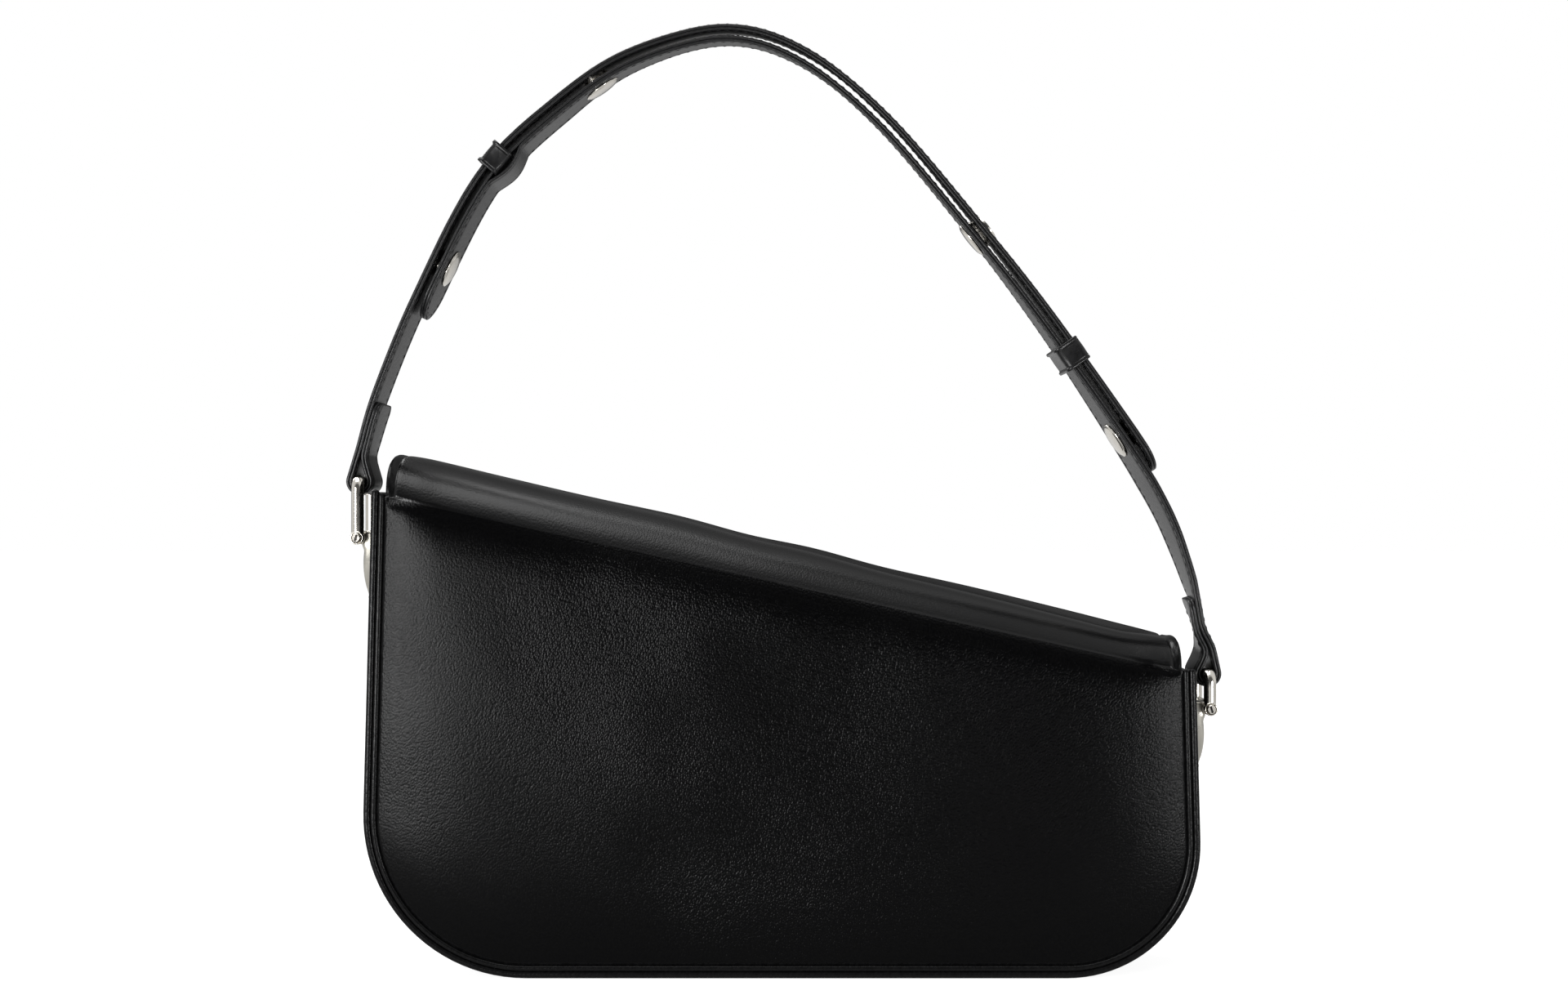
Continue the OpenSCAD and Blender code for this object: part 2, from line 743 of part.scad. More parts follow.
module snap_caps() {
    dome_r = (cap_r * cap_r + cap_h * cap_h) / (2 * cap_h);
    base = half_gap + strap_t + cap_seat;
    color(nickel) for (t = snap_places) on_route(t) mirror([0, 0, 1]) {
        translate([0, 0, base]) rotate_extrude() intersection() {
            translate([0, cap_h - dome_r]) circle(dome_r, $fn = 128);
            square([cap_r + over, cap_h + over]);
        }
        translate([0, 0, half_gap]) cylinder(r = post_r, h = base - half_gap + cap_h / 2);
    }
}

module snap_sockets() {
    top = half_gap - stud_base_t - soft_gap;
    color(nickel) for (t = snap_places) on_route(t) difference() {
        translate([0, 0, socket_seat - half_gap]) cylinder(r = socket_r, h = half_gap + top - socket_seat);
        translate([0, 0, socket_seat + socket_floor - half_gap])
            cylinder(r = stud_r + 2 * run_gap, h = strap_gap);
    }
}

module snap_studs() {
    base = half_gap - stud_base_t;
    low = socket_seat + socket_floor + run_gap - half_gap;
    color(nickel) for (t = snap_places) on_route(t) {
        translate([0, 0, base]) cylinder(r = stud_base_r, h = stud_base_t - stud_seat);
        translate([0, 0, low]) cylinder(r = stud_r, h = base - low);
    }
}

module snap_posts() {
    low = half_gap - stud_seat;
    color(nickel) for (t = snap_places) on_route(t) {
        translate([0, 0, low]) cylinder(r = post_r, h = strap_t + stud_seat + head_seat);
        translate([0, 0, half_gap + strap_t + head_seat]) cylinder(r = head_r, h = head_t);
    }
}

// Flap: its top is an arch over the depth, and its front hangs down from the front shoulder
flap_in = puff_in + pad_gap;
flap_o = nested(flap_in, flap_left_r, flap_right_r, hem_z);
flap_y0 = rim_y + 2 * piping_r + soft_gap;
flap_y1 = flap_y0 + flap_lining_t;
flap_rim_y = flap_y0 + 2 * flap_edging_r;
fold_gap = 0.3;
magnet_z = hem_z + magnet_rise;
magnet_proud = 0.2;
front_magnet_t = 1.4;

// Outer faces of the rear panel and of the flap at a distance in from the flap's end
function rear_face(d) = step_y + (rear_y - step_y) * puff(d / crown_w);
function flap_face(d) = flap_rim_y + flap_crown * puff((d - 2 * flap_edging_r) / crown_w);

// Height of the flap's top over the mouth, with round drops at both ends
end_drop = 1.9;
end_drop_w = 18;
mid_rise = 1;
left_end_x = side_top(body_o, flap_in, -1)[0];
right_end_x = side_top(body_o, flap_in, 1)[0];
function roof_rise(x) =
    let (u = (x - left_end_x) / (right_end_x - left_end_x),
         d = min(x - left_end_x, right_end_x - x))
    left_rise + (right_rise - left_rise) * u + mid_rise * (1 - pow(2 * u - 1, 2))
        - end_drop * pow(1 - min(1, d / end_drop_w), 2);

// Section of the arch at x, in by inset, as points from rear to front
arch_power = 2.6;
function roof_section(x, inset, n) =
    let (d = min(x - left_end_x, right_end_x - x),
         half = (rear_face(d) + flap_face(d)) / 2, mid = (flap_face(d) - rear_face(d)) / 2,
         base = mouth_z(x) + fold_gap)
    [for (k = [0:n]) let (a = 180 - 180 * k / n)
        [x, mid + sign(cos(a)) * (half - inset) * pow(abs(cos(a)), 2 / arch_power),
            base + (roof_rise(x) - inset) * pow(abs(sin(a)), 2 / arch_power)]];

// Stations along the flap's top: close together at the ends
roof_steps = 8;
roof_xs = concat(
    [for (s = slope_shares) left_end_x + s * crown_w],
    [for (k = [1:roof_steps - 1]) left_end_x + crown_w
        + (right_end_x - left_end_x - 2 * crown_w) * k / roof_steps],
    [for (k = [len(slope_shares) - 1:-1:0]) right_end_x - slope_shares[k] * crown_w]);

// Shell of the arch between two insets
module roof_shell(inset0, inset1, n) {
    m = len(roof_xs);
    w = n + 1;
    pts = concat([for (x = roof_xs) for (p = roof_section(x, inset0, n)) p],
        [for (x = roof_xs) for (p = roof_section(x, inset1, n)) p]);
    q = m * w;
    polyhedron(pts, concat(
        [for (i = [0:m - 2], j = [0:n - 1]) [i * w + j, i * w + j + 1, (i + 1) * w + j + 1]],
        [for (i = [0:m - 2], j = [0:n - 1]) [i * w + j, (i + 1) * w + j + 1, (i + 1) * w + j]],
        [for (i = [0:m - 2], j = [0:n - 1]) [q + i * w + j, q + (i + 1) * w + j + 1, q + i * w + j + 1]],
        [for (i = [0:m - 2], j = [0:n - 1])
            [q + i * w + j, q + (i + 1) * w + j, q + (i + 1) * w + j + 1]],
        [for (i = [0:m - 2]) [i * w, (i + 1) * w, q + (i + 1) * w]],
        [for (i = [0:m - 2]) [i * w, q + (i + 1) * w, q + i * w]],
        [for (i = [0:m - 2]) [i * w + n, q + (i + 1) * w + n, (i + 1) * w + n]],
        [for (i = [0:m - 2]) [i * w + n, q + i * w + n, q + (i + 1) * w + n]],
        [for (j = [0:n - 1]) [j, q + j, q + j + 1]],
        [for (j = [0:n - 1]) [j, q + j + 1, j + 1]],
        [for (j = [0:n - 1]) let (e = (m - 1) * w) [e + j, q + e + j + 1, q + e + j]],
        [for (j = [0:n - 1]) let (e = (m - 1) * w) [e + j, e + j + 1, q + e + j + 1]]));
}

module flap_top() {
    color(leather) roof_shell(0, flap_t, 16);
}

module flap_top_lining() {
    color(suede) roof_shell(flap_t, flap_t + flap_lining_t, 16);
}

module flap_front() {
    edge = 2 * flap_edging_r;
    rings = [for (s = slope_shares) [edge + s * crown_w, flap_rim_y + flap_crown * puff(s)]];
    color(leather) padded_panel(flap_o, rings, flap_y1);
}

module flap_lining() {
    color(suede) difference() {
        facet_sheet(flap_o, 2 * flap_edging_r, flap_y0, flap_y1);
        translate([0, flap_y1 + over, magnet_z]) stand()
            cylinder(r = magnet_r + press_gap, h = flap_lining_t + 2 * over);
    }
}

module flap_edging() {
    color(leather_edge) mirror([0, 1, 0])
        seam_sweep(flap_o, flap_edging_r, nose_section(flap_edging_r, flap_edging_r, flap_y0));
}

module flap_magnet() {
    color(nickel) translate([0, flap_y1, magnet_z]) stand()
        cylinder(r = magnet_r, h = flap_lining_t + magnet_proud);
}

module front_magnet() {
    color(nickel) translate([0, front_y + magnet_proud, magnet_z]) stand()
        cylinder(r = magnet_r, h = front_magnet_t);
}

rear_panel();
front_panel();
gusset();
rear_edging();
front_edging();
rear_piping();
front_piping();
left_gusset_binding();
right_gusset_binding();
lining();
inner_pocket();
base_board();
front_magnet();
left_lug();
right_lug();
left_backing_plate();
right_backing_plate();
left_lug_screws();
right_lug_screws();
left_screw();
right_screw();
flap_top();
flap_top_lining();
flap_front();
flap_lining();
flap_edging();
flap_magnet();
left_ring();
right_ring();
outer_strap();
inner_strap();
left_keeper();
right_keeper();
snap_caps();
snap_sockets();
snap_studs();
snap_posts();
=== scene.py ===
"""Mini bag: the looks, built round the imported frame. Shapes are worked out in millimetres and stored in metres."""
import math

import bmesh
import bpy
import numpy as np
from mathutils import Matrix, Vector


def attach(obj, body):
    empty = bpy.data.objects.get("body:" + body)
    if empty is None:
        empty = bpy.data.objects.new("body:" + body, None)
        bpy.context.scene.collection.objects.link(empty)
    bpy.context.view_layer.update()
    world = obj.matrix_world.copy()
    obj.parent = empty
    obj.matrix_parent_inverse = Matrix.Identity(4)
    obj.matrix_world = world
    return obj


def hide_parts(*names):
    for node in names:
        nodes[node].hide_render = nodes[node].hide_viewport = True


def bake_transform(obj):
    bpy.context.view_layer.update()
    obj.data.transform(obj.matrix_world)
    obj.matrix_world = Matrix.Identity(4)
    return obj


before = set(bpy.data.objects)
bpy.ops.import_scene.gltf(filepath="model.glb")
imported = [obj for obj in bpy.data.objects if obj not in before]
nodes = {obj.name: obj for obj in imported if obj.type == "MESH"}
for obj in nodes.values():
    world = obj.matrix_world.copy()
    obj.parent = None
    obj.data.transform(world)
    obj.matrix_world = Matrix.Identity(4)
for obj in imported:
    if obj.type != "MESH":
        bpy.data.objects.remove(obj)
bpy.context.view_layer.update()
scene = bpy.context.scene

# ---- camera
cam = bpy.data.objects.new("camera", bpy.data.cameras.new("camera"))
scene.collection.objects.link(cam)
cam.location = (0.00065, -0.727, 0.1464)
cam.rotation_euler = (math.radians(90), 0, 0)
cam.data.sensor_width = 36
cam.data.lens = 52.5
cam.data.clip_start = 0.01
cam.data.clip_end = 50
scene.camera = cam


# ---- materials
def new_mat(name):
    m = bpy.data.materials.new(name)
    m.use_nodes = True
    return m, m.node_tree.nodes, m.node_tree.links, m.node_tree.nodes["Principled BSDF"]


def put(node, **values):
    """Sets constants on a node's sockets. An underscore stands for the space in a socket's name."""
    for key, value in values.items():
        node.inputs[key.replace("_", " ")].default_value = value


def coords(n, l, scale=(1, 1, 1), rot=(0, 0, 0)):
    tc = n.new("ShaderNodeTexCoord")
    mp = n.new("ShaderNodeMapping")
    put(mp, Scale=scale, Rotation=rot)
    l.new(tc.outputs["Object"], mp.inputs["Vector"])
    return mp.outputs["Vector"]


def noise(n, l, vec, scale, detail, rough, out="Fac"):
    t = n.new("ShaderNodeTexNoise")
    put(t, Scale=scale, Detail=detail, Roughness=rough)
    l.new(vec, t.inputs["Vector"])
    return t.outputs[out]


def ramp(n, l, fac, stops):
    """A blend of two colours, from stops of (place, colour)."""
    r = n.new("ShaderNodeValToRGB")
    for e, (place, colour) in zip(r.color_ramp.elements, stops):
        e.position, e.color = place, (*colour, 1)
    l.new(fac, r.inputs["Fac"])
    return r.outputs["Color"]


def span(n, l, fac, lo, hi, in_lo=0.0, in_hi=1.0):
    m = n.new("ShaderNodeMapRange")
    put(m, From_Min=in_lo, From_Max=in_hi, To_Min=lo, To_Max=hi)
    l.new(fac, m.inputs["Value"])
    return m.outputs["Result"]


def axis(n, l, vec, name):
    sep = n.new("ShaderNodeSeparateXYZ")
    l.new(vec, sep.inputs[0])
    return sep.outputs[name]


def math_node(n, l, op, a, b):
    m = n.new("ShaderNodeMath")
    m.operation = op
    for k, v in enumerate((a, b)):
        if isinstance(v, (int, float)):
            m.inputs[k].default_value = v
        else:
            l.new(v, m.inputs[k])
    return m.outputs[0]


def bump(n, l, height, dist, strength=1.0, under=None, invert=False):
    b = n.new("ShaderNodeBump")
    b.invert = invert
    put(b, Strength=strength, Distance=dist)
    l.new(height, b.inputs["Height"])
    if under is not None:
        l.new(under, b.inputs["Normal"])
    return b.outputs["Normal"]


def cells(n, l, vec, size, stretch, turn, smooth):
    """Raised cells of one size, drawn out along an axis that leans by turn degrees from vertical."""
    m = n.new("ShaderNodeMapping")
    m.vector_type = "TEXTURE"
    put(m, Rotation=(0, math.radians(turn), 0), Scale=(1, 1, stretch))
    l.new(vec, m.inputs["Vector"])
    c = n.new("ShaderNodeTexVoronoi")
    c.feature = "SMOOTH_F1"
    put(c, Scale=1 / size, Smoothness=smooth, Randomness=0.8)
    l.new(m.outputs["Vector"], c.inputs["Vector"])
    return c.outputs["Distance"]


def leather_mat(name, dark, light, rough, grain, depth, spec, patch=0.08, middle=0.0):
    """Calf leather: close cells, fine pores and large patches. Where middle is given, it is the strength of the cells
    in the bag's middle, and they fade towards both sides."""
    m, n, l, p = new_mat(name)
    vec = coords(n, l)
    warp = noise(n, l, vec, 0.35 / grain, 2, 0.55, "Color")
    mix = n.new("ShaderNodeVectorMath")
    mix.operation = "MULTIPLY_ADD"
    l.new(warp, mix.inputs[0])
    mix.inputs[1].default_value = (grain * 0.7,) * 3
    l.new(vec, mix.inputs[2])
    small = cells(n, l, mix.outputs[0], grain, 1.7, 15, 0.2)
    fine = noise(n, l, vec, 2.6 / grain, 3, 0.6)
    area = noise(n, l, vec, 14, 2, 0.5)
    height = math_node(n, l, "POWER", small, 1.5)
    height = math_node(n, l, "MULTIPLY", height, span(n, l, area, 0.8, 1.15, 0.35, 0.65))
    if middle:
        place = math_node(n, l, "ADD", axis(n, l, vec, "X"), span(n, l, area, -0.04, 0.04, 0.3, 0.7))
        for fade in ((0.3, middle, -0.12, -0.03), (1.0, 0.45, 0.03, 0.11)):
            height = math_node(n, l, "MULTIPLY", height, span(n, l, place, *fade))
    pores = bump(n, l, fine, depth * 0.35, 0.7)
    l.new(bump(n, l, height, depth, 1.0, pores, True), p.inputs["Normal"])
    l.new(ramp(n, l, small, [(0.1, light), (0.75, dark)]), p.inputs["Base Color"])
    l.new(math_node(n, l, "ADD", span(n, l, area, rough - patch / 2, rough + patch / 2, 0.3, 0.7),
                    span(n, l, fine, -0.04, 0.06)), p.inputs["Roughness"])
    put(p, Specular_IOR_Level=spec)
    return m


def suede_mat(name, a, b):
    m, n, l, p = new_mat(name)
    vec = coords(n, l)
    nap = noise(n, l, vec, 2600, 3, 0.7)
    cloud = noise(n, l, vec, 55, 3, 0.6)
    mixed = math_node(n, l, "ADD", math_node(n, l, "MULTIPLY", nap, 0.45), math_node(n, l, "MULTIPLY", cloud, 0.55))
    l.new(ramp(n, l, mixed, [(0.36, a), (0.62, b)]), p.inputs["Base Color"])
    l.new(bump(n, l, nap, 0.00025, 0.6), p.inputs["Normal"])
    put(p, Roughness=0.92, Specular_IOR_Level=0.15, Sheen_Weight=0.35, Sheen_Roughness=0.5)
    return m


def metal_mat(name, colour, rough):
    m, n, l, p = new_mat(name)
    haze = noise(n, l, coords(n, l), 260, 3, 0.6)
    line = noise(n, l, coords(n, l, (1, 1, 0.06)), 5200, 2, 0.5)
    dull, bright = np.array(colour) * 0.95, np.minimum(np.array(colour) * 1.05, 1)
    l.new(ramp(n, l, haze, [(0.3, tuple(dull)), (0.7, tuple(bright))]), p.inputs["Base Color"])
    put(p, Metallic=1)
    l.new(span(n, l, haze, rough * 0.8, rough * 1.35, 0.3, 0.7), p.inputs["Roughness"])
    l.new(bump(n, l, line, 0.000012, 0.35), p.inputs["Normal"])
    return m


def thread_mat(name, a, b):
    m, n, l, p = new_mat(name)
    w = n.new("ShaderNodeTexWave")
    put(w, Scale=900, Distortion=1.5)
    l.new(coords(n, l, (1, 1, 1), (0.6, 0.5, 0.4)), w.inputs["Vector"])
    l.new(ramp(n, l, w.outputs["Fac"], [(0.2, a), (0.8, b)]), p.inputs["Base Color"])
    l.new(bump(n, l, w.outputs["Fac"], 0.00012, 0.6), p.inputs["Normal"])
    put(p, Roughness=0.55, Specular_IOR_Level=0.3)
    return m


BLACK = (0.0007, 0.0007, 0.0008), (0.0014, 0.0014, 0.0015)
LEATHER = leather_mat("calf", *BLACK, 0.22, 0.00052, 0.00012, 0.058, 0.06, 1.25)
SMOOTH = leather_mat("calf_stretched", *BLACK, 0.25, 0.00060, 0.00004, 0.22, 0.06)
EDGE = leather_mat("calf_edge", (0.0018, 0.0018, 0.0019), (0.0036, 0.0036, 0.0038), 0.23, 0.0010, 0.00005, 0.10)
STRAP = leather_mat("calf_strap", (0.0045, 0.0045, 0.0048), (0.0085, 0.0085, 0.009), 0.34, 0.0009, 0.00006, 0.26)
PAINT = leather_mat("edge_paint", (0.0036, 0.0036, 0.0038), (0.007, 0.007, 0.0075), 0.28, 0.0015, 0.00004, 0.26)
SUEDE = suede_mat("suede", (0.060, 0.057, 0.055), (0.115, 0.110, 0.106))
NICKEL = metal_mat("nickel", (0.62, 0.595, 0.545), 0.12)
SATIN = metal_mat("satin_nickel", (0.40, 0.385, 0.345), 0.30)
# Dark metal for the walls and floor of the screws' slots: painted shade in the recess
PAINTED_SLOT_SHADE = metal_mat("slot_shadow", (0.05, 0.048, 0.045), 0.45)
THREAD = thread_mat("thread", (0.003, 0.003, 0.003), (0.012, 0.012, 0.013))
BOARD = suede_mat("board", (0.20, 0.17, 0.13), (0.30, 0.26, 0.20))

# ---- mesh helpers


def add(name, verts, faces, mats, body=None, slot=None, replaces=(), mat_index=None, outward=True):
    me = bpy.data.meshes.new(name)
    me.from_pydata((np.asarray(verts, float) * 0.001).tolist(), [], [list(map(int, f)) for f in faces])
    me.validate()
    for m in (mats if isinstance(mats, (list, tuple)) else [mats]):
        me.materials.append(m)
    if mat_index is not None:
        me.polygons.foreach_set("material_index", np.asarray(mat_index, np.int32))
    me.polygons.foreach_set("use_smooth", [True] * len(me.polygons))
    if outward:
        bm = bmesh.new()
        bm.from_mesh(me)
        bmesh.ops.recalc_face_normals(bm, faces=bm.faces)
        bm.to_mesh(me)
        bm.free()
    me.update()
    ob = bpy.data.objects.new(name, me)
    scene.collection.objects.link(ob)
    if body:
        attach(ob, body)
    if replaces:
        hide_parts(*replaces)
    return ob


class Net:
    """Collects points and faces of one mesh."""

    def __init__(self):
        self.v, self.f, self.m = [], [], []
        self.n = 0

    def pts(self, p):
        p = np.asarray(p, float).reshape(-1, 3)
        self.v.append(p)
        self.n += len(p)
        return np.arange(self.n - len(p), self.n)

    def quads(self, ids, mat=0, flip=False):
        a = np.asarray(ids)
        q = np.stack([a[:-1, :-1], a[:-1, 1:], a[1:, 1:], a[1:, :-1]], -1).reshape(-1, 4)
        if flip:
            q = q[:, ::-1]
        self.f += q.tolist()
        self.m += [mat] * len(q)

    def face(self, ids, mat=0):
        self.f.append(list(ids))
        self.m.append(mat)

    def make(self, name, mats, **kw):
        return add(name, np.concatenate(self.v), self.f, mats, mat_index=self.m, **kw)


def unit(a):
    a = np.asarray(a, float)
    return a / np.maximum(np.linalg.norm(a, axis=-1, keepdims=True), 1e-12)


def sweep(net, origin, u, v, section, closed=True, caps=True, mat=0, dome=0.0):
    """Sweeps section (m x 2, or n x m x 2) along n origins. Its axes u and v are one pair, or n of them."""
    origin, sec = np.asarray(origin, float), np.asarray(section, float)
    u, v = (np.broadcast_to(np.asarray(a, float), origin.shape) for a in (u, v))
    if sec.ndim == 2:
        sec = np.broadcast_to(sec, (len(origin), *sec.shape))
    p = origin[:, None] + sec[:, :, :1] * u[:, None] + sec[:, :, 1:] * v[:, None]
    ids = net.pts(p).reshape(p.shape[:2])
    net.quads(np.concatenate([ids, ids[:, :1]], 1) if closed else ids, mat)
    for k, s in ((0, 1), (-1, -1)) if caps else ():
        t = unit(origin[k] - origin[k + s])
        mid = p[k].mean(0)
        last = ids[k]
        for out, size in ((0.35, 0.94), (0.75, 0.66)) if dome else ():
            new = net.pts(mid + (p[k] - mid) * size + t * dome * out)
            pair = np.stack([last, new])
            net.quads(np.concatenate([pair, pair[:, :1]], 1), mat, flip=s == 1)
            last = new
        c = net.pts(mid + t * dome)[0]
        for a, b in zip(last, np.roll(last, -1)):
            net.face((c, a, b) if s == 1 else (c, b, a), mat)
    return ids


def circle(r, n):
    a = np.arange(n) * 2 * math.pi / n
    return np.stack([r * np.cos(a), r * np.sin(a)], 1)


def lathe(net, centre, axis, side, profile, n=40):
    """Turns profile points (along axis, radius) about axis."""
    axis, side = unit(axis), unit(side)
    other = np.cross(axis, side)
    a = np.arange(n) * 2 * math.pi / n
    rim = np.cos(a)[:, None] * side + np.sin(a)[:, None] * other
    p = np.array([np.asarray(centre) + h * axis + r * rim for h, r in profile])
    ids = net.pts(p).reshape(len(profile), n)
    net.quads(np.concatenate([ids, ids[:, :1]], 1))


# ---- the bag's measures, as in the frame
BW, LH, RH = 257.5, 149.5, 93.0   # width, and height of the mouth at the left and right
LEAN = math.radians(1.5)
SLOPE = (RH - LH) / BW
LEFT_R, RIGHT_R = 50.0, 41.0   # bottom corners
BODY = (np.array([-BW / 2 + LEFT_R, LEFT_R]), LEFT_R, np.array([BW / 2 - RIGHT_R, RIGHT_R]), RIGHT_R)
EDGE_R, PIPE_R, LIP = 1.15, 0.9, 2.3
FLAP_IN = 4.3
RIM_Y, STEP_Y, REAR_Y, FRONT_Y = 23.6, 24.6, 28.0, 25.0
WALL_Y, LINING_Y = 22.05, 21.0   # inner faces of the panels, and the lining
CROWN_W = 34.0
HEM = 28.0
FLAP_Y0, FLAP_RIM, FLAP_CROWN, FOLD_Y = 25.7, 28.0, 2.5, 30.5
FLAP_T = 2.35   # the flap's leather and padding over its lining


def mouth_z(x):
    return LH + SLOPE * (np.asarray(x) + BW / 2)


def nested(side_in, rl, rr, low):
    """An outline inside the body's, in by side_in at the sides and up by low, with corners of rl and rr."""
    x0 = BODY[0][0] + (math.sin(LEAN) * (low + rl - LEFT_R) + rl - LEFT_R + side_in) / math.cos(LEAN)
    x1 = BODY[2][0] - (math.sin(LEAN) * (low + rr - RIGHT_R) + rr - RIGHT_R + side_in) / math.cos(LEAN)
    return (np.array([x0, low + rl]), rl, np.array([x1, low + rr]), rr)


FLAP = nested(FLAP_IN, 44.0, 38.0, HEM)
NS, NA, NB = 40, 24, 60   # steps of a straight side, of a corner and of the bottom


def side_dirs(side):
    return np.array([side * math.cos(LEAN), math.sin(LEAN)]), np.array([-side * math.sin(LEAN), math.cos(LEAN)])


def side_foot(o, i, side):
    return (o[0] if side < 0 else o[2]) + ((o[1] if side < 0 else o[3]) - i) * side_dirs(side)[0]


def side_run(o, i, side):
    f, u = side_foot(o, i, side), side_dirs(side)[1]
    return (mouth_z(f[0]) - f[1]) / (u[1] - SLOPE * u[0])


def side_top(o, i, side):
    return side_foot(o, i, side) + side_run(o, i, side) * side_dirs(side)[1]


def arc_dirs(a0):
    """Directions round a bottom corner, from angle a0 on."""
    return [np.array([math.cos(a), math.sin(a)]) for a in (a0 + k * (math.pi / 2 + LEAN) / NA for k in range(NA))]


LEFT_ARC, RIGHT_ARC = arc_dirs(math.pi - LEAN), arc_dirs(1.5 * math.pi)
NORMALS = np.array([side_dirs(-1)[0]] * NS + LEFT_ARC + [np.array([0, -1.0])] * NB + RIGHT_ARC
                   + [side_dirs(1)[0]] * (NS + 1))


def u_line(o, i, drop=0.0):
    """Points of the open outline, in by i, from the mouth at the left round to the mouth at the right."""
    left, right = (side_foot(o, i, s) for s in (-1, 1))
    up, down = (side_dirs(s)[1] * (side_run(o, i, s) - drop) for s in (-1, 1))
    p, q = o[0] + [0, i - o[1]], o[2] + [0, i - o[3]]
    out = [left + up * (1 - k / NS) for k in range(NS)]
    out += [o[0] + (o[1] - i) * d for d in LEFT_ARC]
    out += [p + (q - p) * k / NB for k in range(NB)]
    out += [o[2] + (o[3] - i) * d for d in RIGHT_ARC]
    return np.array(out + [right + down * k / NS for k in range(NS + 1)])


def puff(s):
    return 1 - (1 - np.clip(s, 0, 1)) ** 3.2


def rear_face(d):
    return STEP_Y + (REAR_Y - STEP_Y) * (0.70 * puff(d / CROWN_W) + 0.30 * puff(d / 95))


def inset_of(o, x, z):
    """Distance in from the outline's sides, corners and bottom."""
    x, z = np.asarray(x, float), np.asarray(z, float)
    best = z - (o[0][1] - o[1])
    for side, c, r in ((-1, o[0], o[1]), (1, o[2], o[3])):
        n = side_dirs(side)[0]
        q = np.stack([x - c[0], z - c[1]], -1)
        flat = r - (q[..., 0] * n[0] + q[..., 1] * n[1])
        corner = r - np.hypot(q[..., 0], q[..., 1])
        inside = (side * q[..., 0] > 0) & (q[..., 1] < 0)
        best = np.minimum(best, np.where(inside, corner, flat))
    return best


def flap_face(d):
    return FLAP_RIM + FLAP_CROWN * puff((d - LIP) / CROWN_W)


LEFT_X, RIGHT_X = side_top(BODY, FLAP_IN, -1)[0], side_top(BODY, FLAP_IN, 1)[0]


ARCH = 2.5   # power of the arched top's curve
RISE, RISE_FALL, RISE_END = 14.3, 3.5, 2.2   # its rise at the left, what it loses to the right, what its end regains
FRONT_FALL = 0.5   # share of the rise that its front has lost at the right end


def smooth01(t):
    t = np.clip(t, 0, 1)
    return t * t * (3 - 2 * t)


def roof_size(x):
    """The arched top at x: rise over the mouth, half width, middle, and how far below the mouth its rear starts."""
    x = np.asarray(x, float)
    d = np.clip(np.minimum(x - LEFT_X, RIGHT_X - x), 0, None)
    u = (x - LEFT_X) / (RIGHT_X - LEFT_X)
    at_end = (0.9 - 0.4 * u) * (1 - np.minimum(1, d / 12)) ** 2
    rise = RISE - RISE_FALL * u + RISE_END * u ** 3 + (1 - (2 * u - 1) ** 2) - at_end
    rear, front = rear_face(d), flap_face(d)
    return rise, (rear + front) / 2, (front - rear) / 2, 6 * smooth01(d / 4) + 11 * smooth01(d / 20)


def lean_in(x, z):
    """How far the rear panel's upper part leans in towards the arch."""
    rise, half, _, under = roof_size(x)
    q = np.clip((np.asarray(z, float) - mouth_z(x) + under) / (rise + under), 0, 0.999)
    return half * (1 - (1 - q ** ARCH) ** (1 / ARCH))


def roof_point(x, inset, a):
    """A point of the flap's arched top: a runs from pi at the rear to 0 at the front, which is lower at the right."""
    rise, half, mid, under = (float(q) for q in roof_size(x))
    under *= math.cos(a) < 0
    f = 1 - abs(a - math.pi / 2) / (math.pi / 2)
    a0 = math.asin((under / (rise + under)) ** (ARCH / 2))
    turn = a0 + (math.pi / 2 - a0) * f
    c, s = math.cos(turn), math.sin(turn)
    y = math.copysign((half - inset) * c ** (2 / ARCH), math.cos(a))
    u = float(np.clip((x - LEFT_X) / (RIGHT_X - LEFT_X), 0, 1))
    fall = FRONT_FALL * u ** 1.5 * (y + half) / (2 * half)
    return np.array([x, mid + y, mouth_z(x) - under + (rise + under - inset) * s ** (2 / ARCH) * (1 - fall)])


def soft(x, z):
    """Slow, shallow waves that a leather sheet keeps, in mm."""
    return (0.16 * np.sin(x * 0.047 + 1.3) * np.sin(z * 0.061 + 0.4) + 0.10 * np.sin(x * 0.093 - z * 0.052 + 2.1)
            + 0.05 * np.sin(x * 0.19 + z * 0.13))


def coons(net, rim, ids, shape):
    """Fills the open outline rim, whose points are ids of net. shape(points, s) gives y inside it, with s from 0 at
    the mouth to 1 at the bottom. Returns the points along the mouth and all ids."""
    na = NS + NA // 2
    n = len(rim)
    left, bottom, right = rim[:na + 1], rim[na:n - na], rim[n - na - 1:][::-1]
    t, s = np.linspace(0, 1, len(bottom))[None, :, None], np.linspace(0, 1, len(left))[:, None, None]
    top = rim[0] * (1 - t) + rim[-1] * t
    patch = ((1 - s) * top + s * bottom[None] + (1 - t) * left[:, None] + t * right[:, None]
             - ((1 - s) * (1 - t) * rim[0] + (1 - s) * t * rim[-1] + s * (1 - t) * bottom[0] + s * t * bottom[-1]))
    inner = patch[:-1, 1:-1]
    inner[..., 1] = shape(inner, s[:-1, :, 0])
    pid = np.zeros(patch.shape[:2], int)
    pid[:, 0], pid[:, -1], pid[-1] = ids[:na + 1], ids[n - na - 1:][::-1], ids[na:n - na]
    pid[:-1, 1:-1] = net.pts(inner).reshape(inner.shape[:2])
    return inner[0], pid


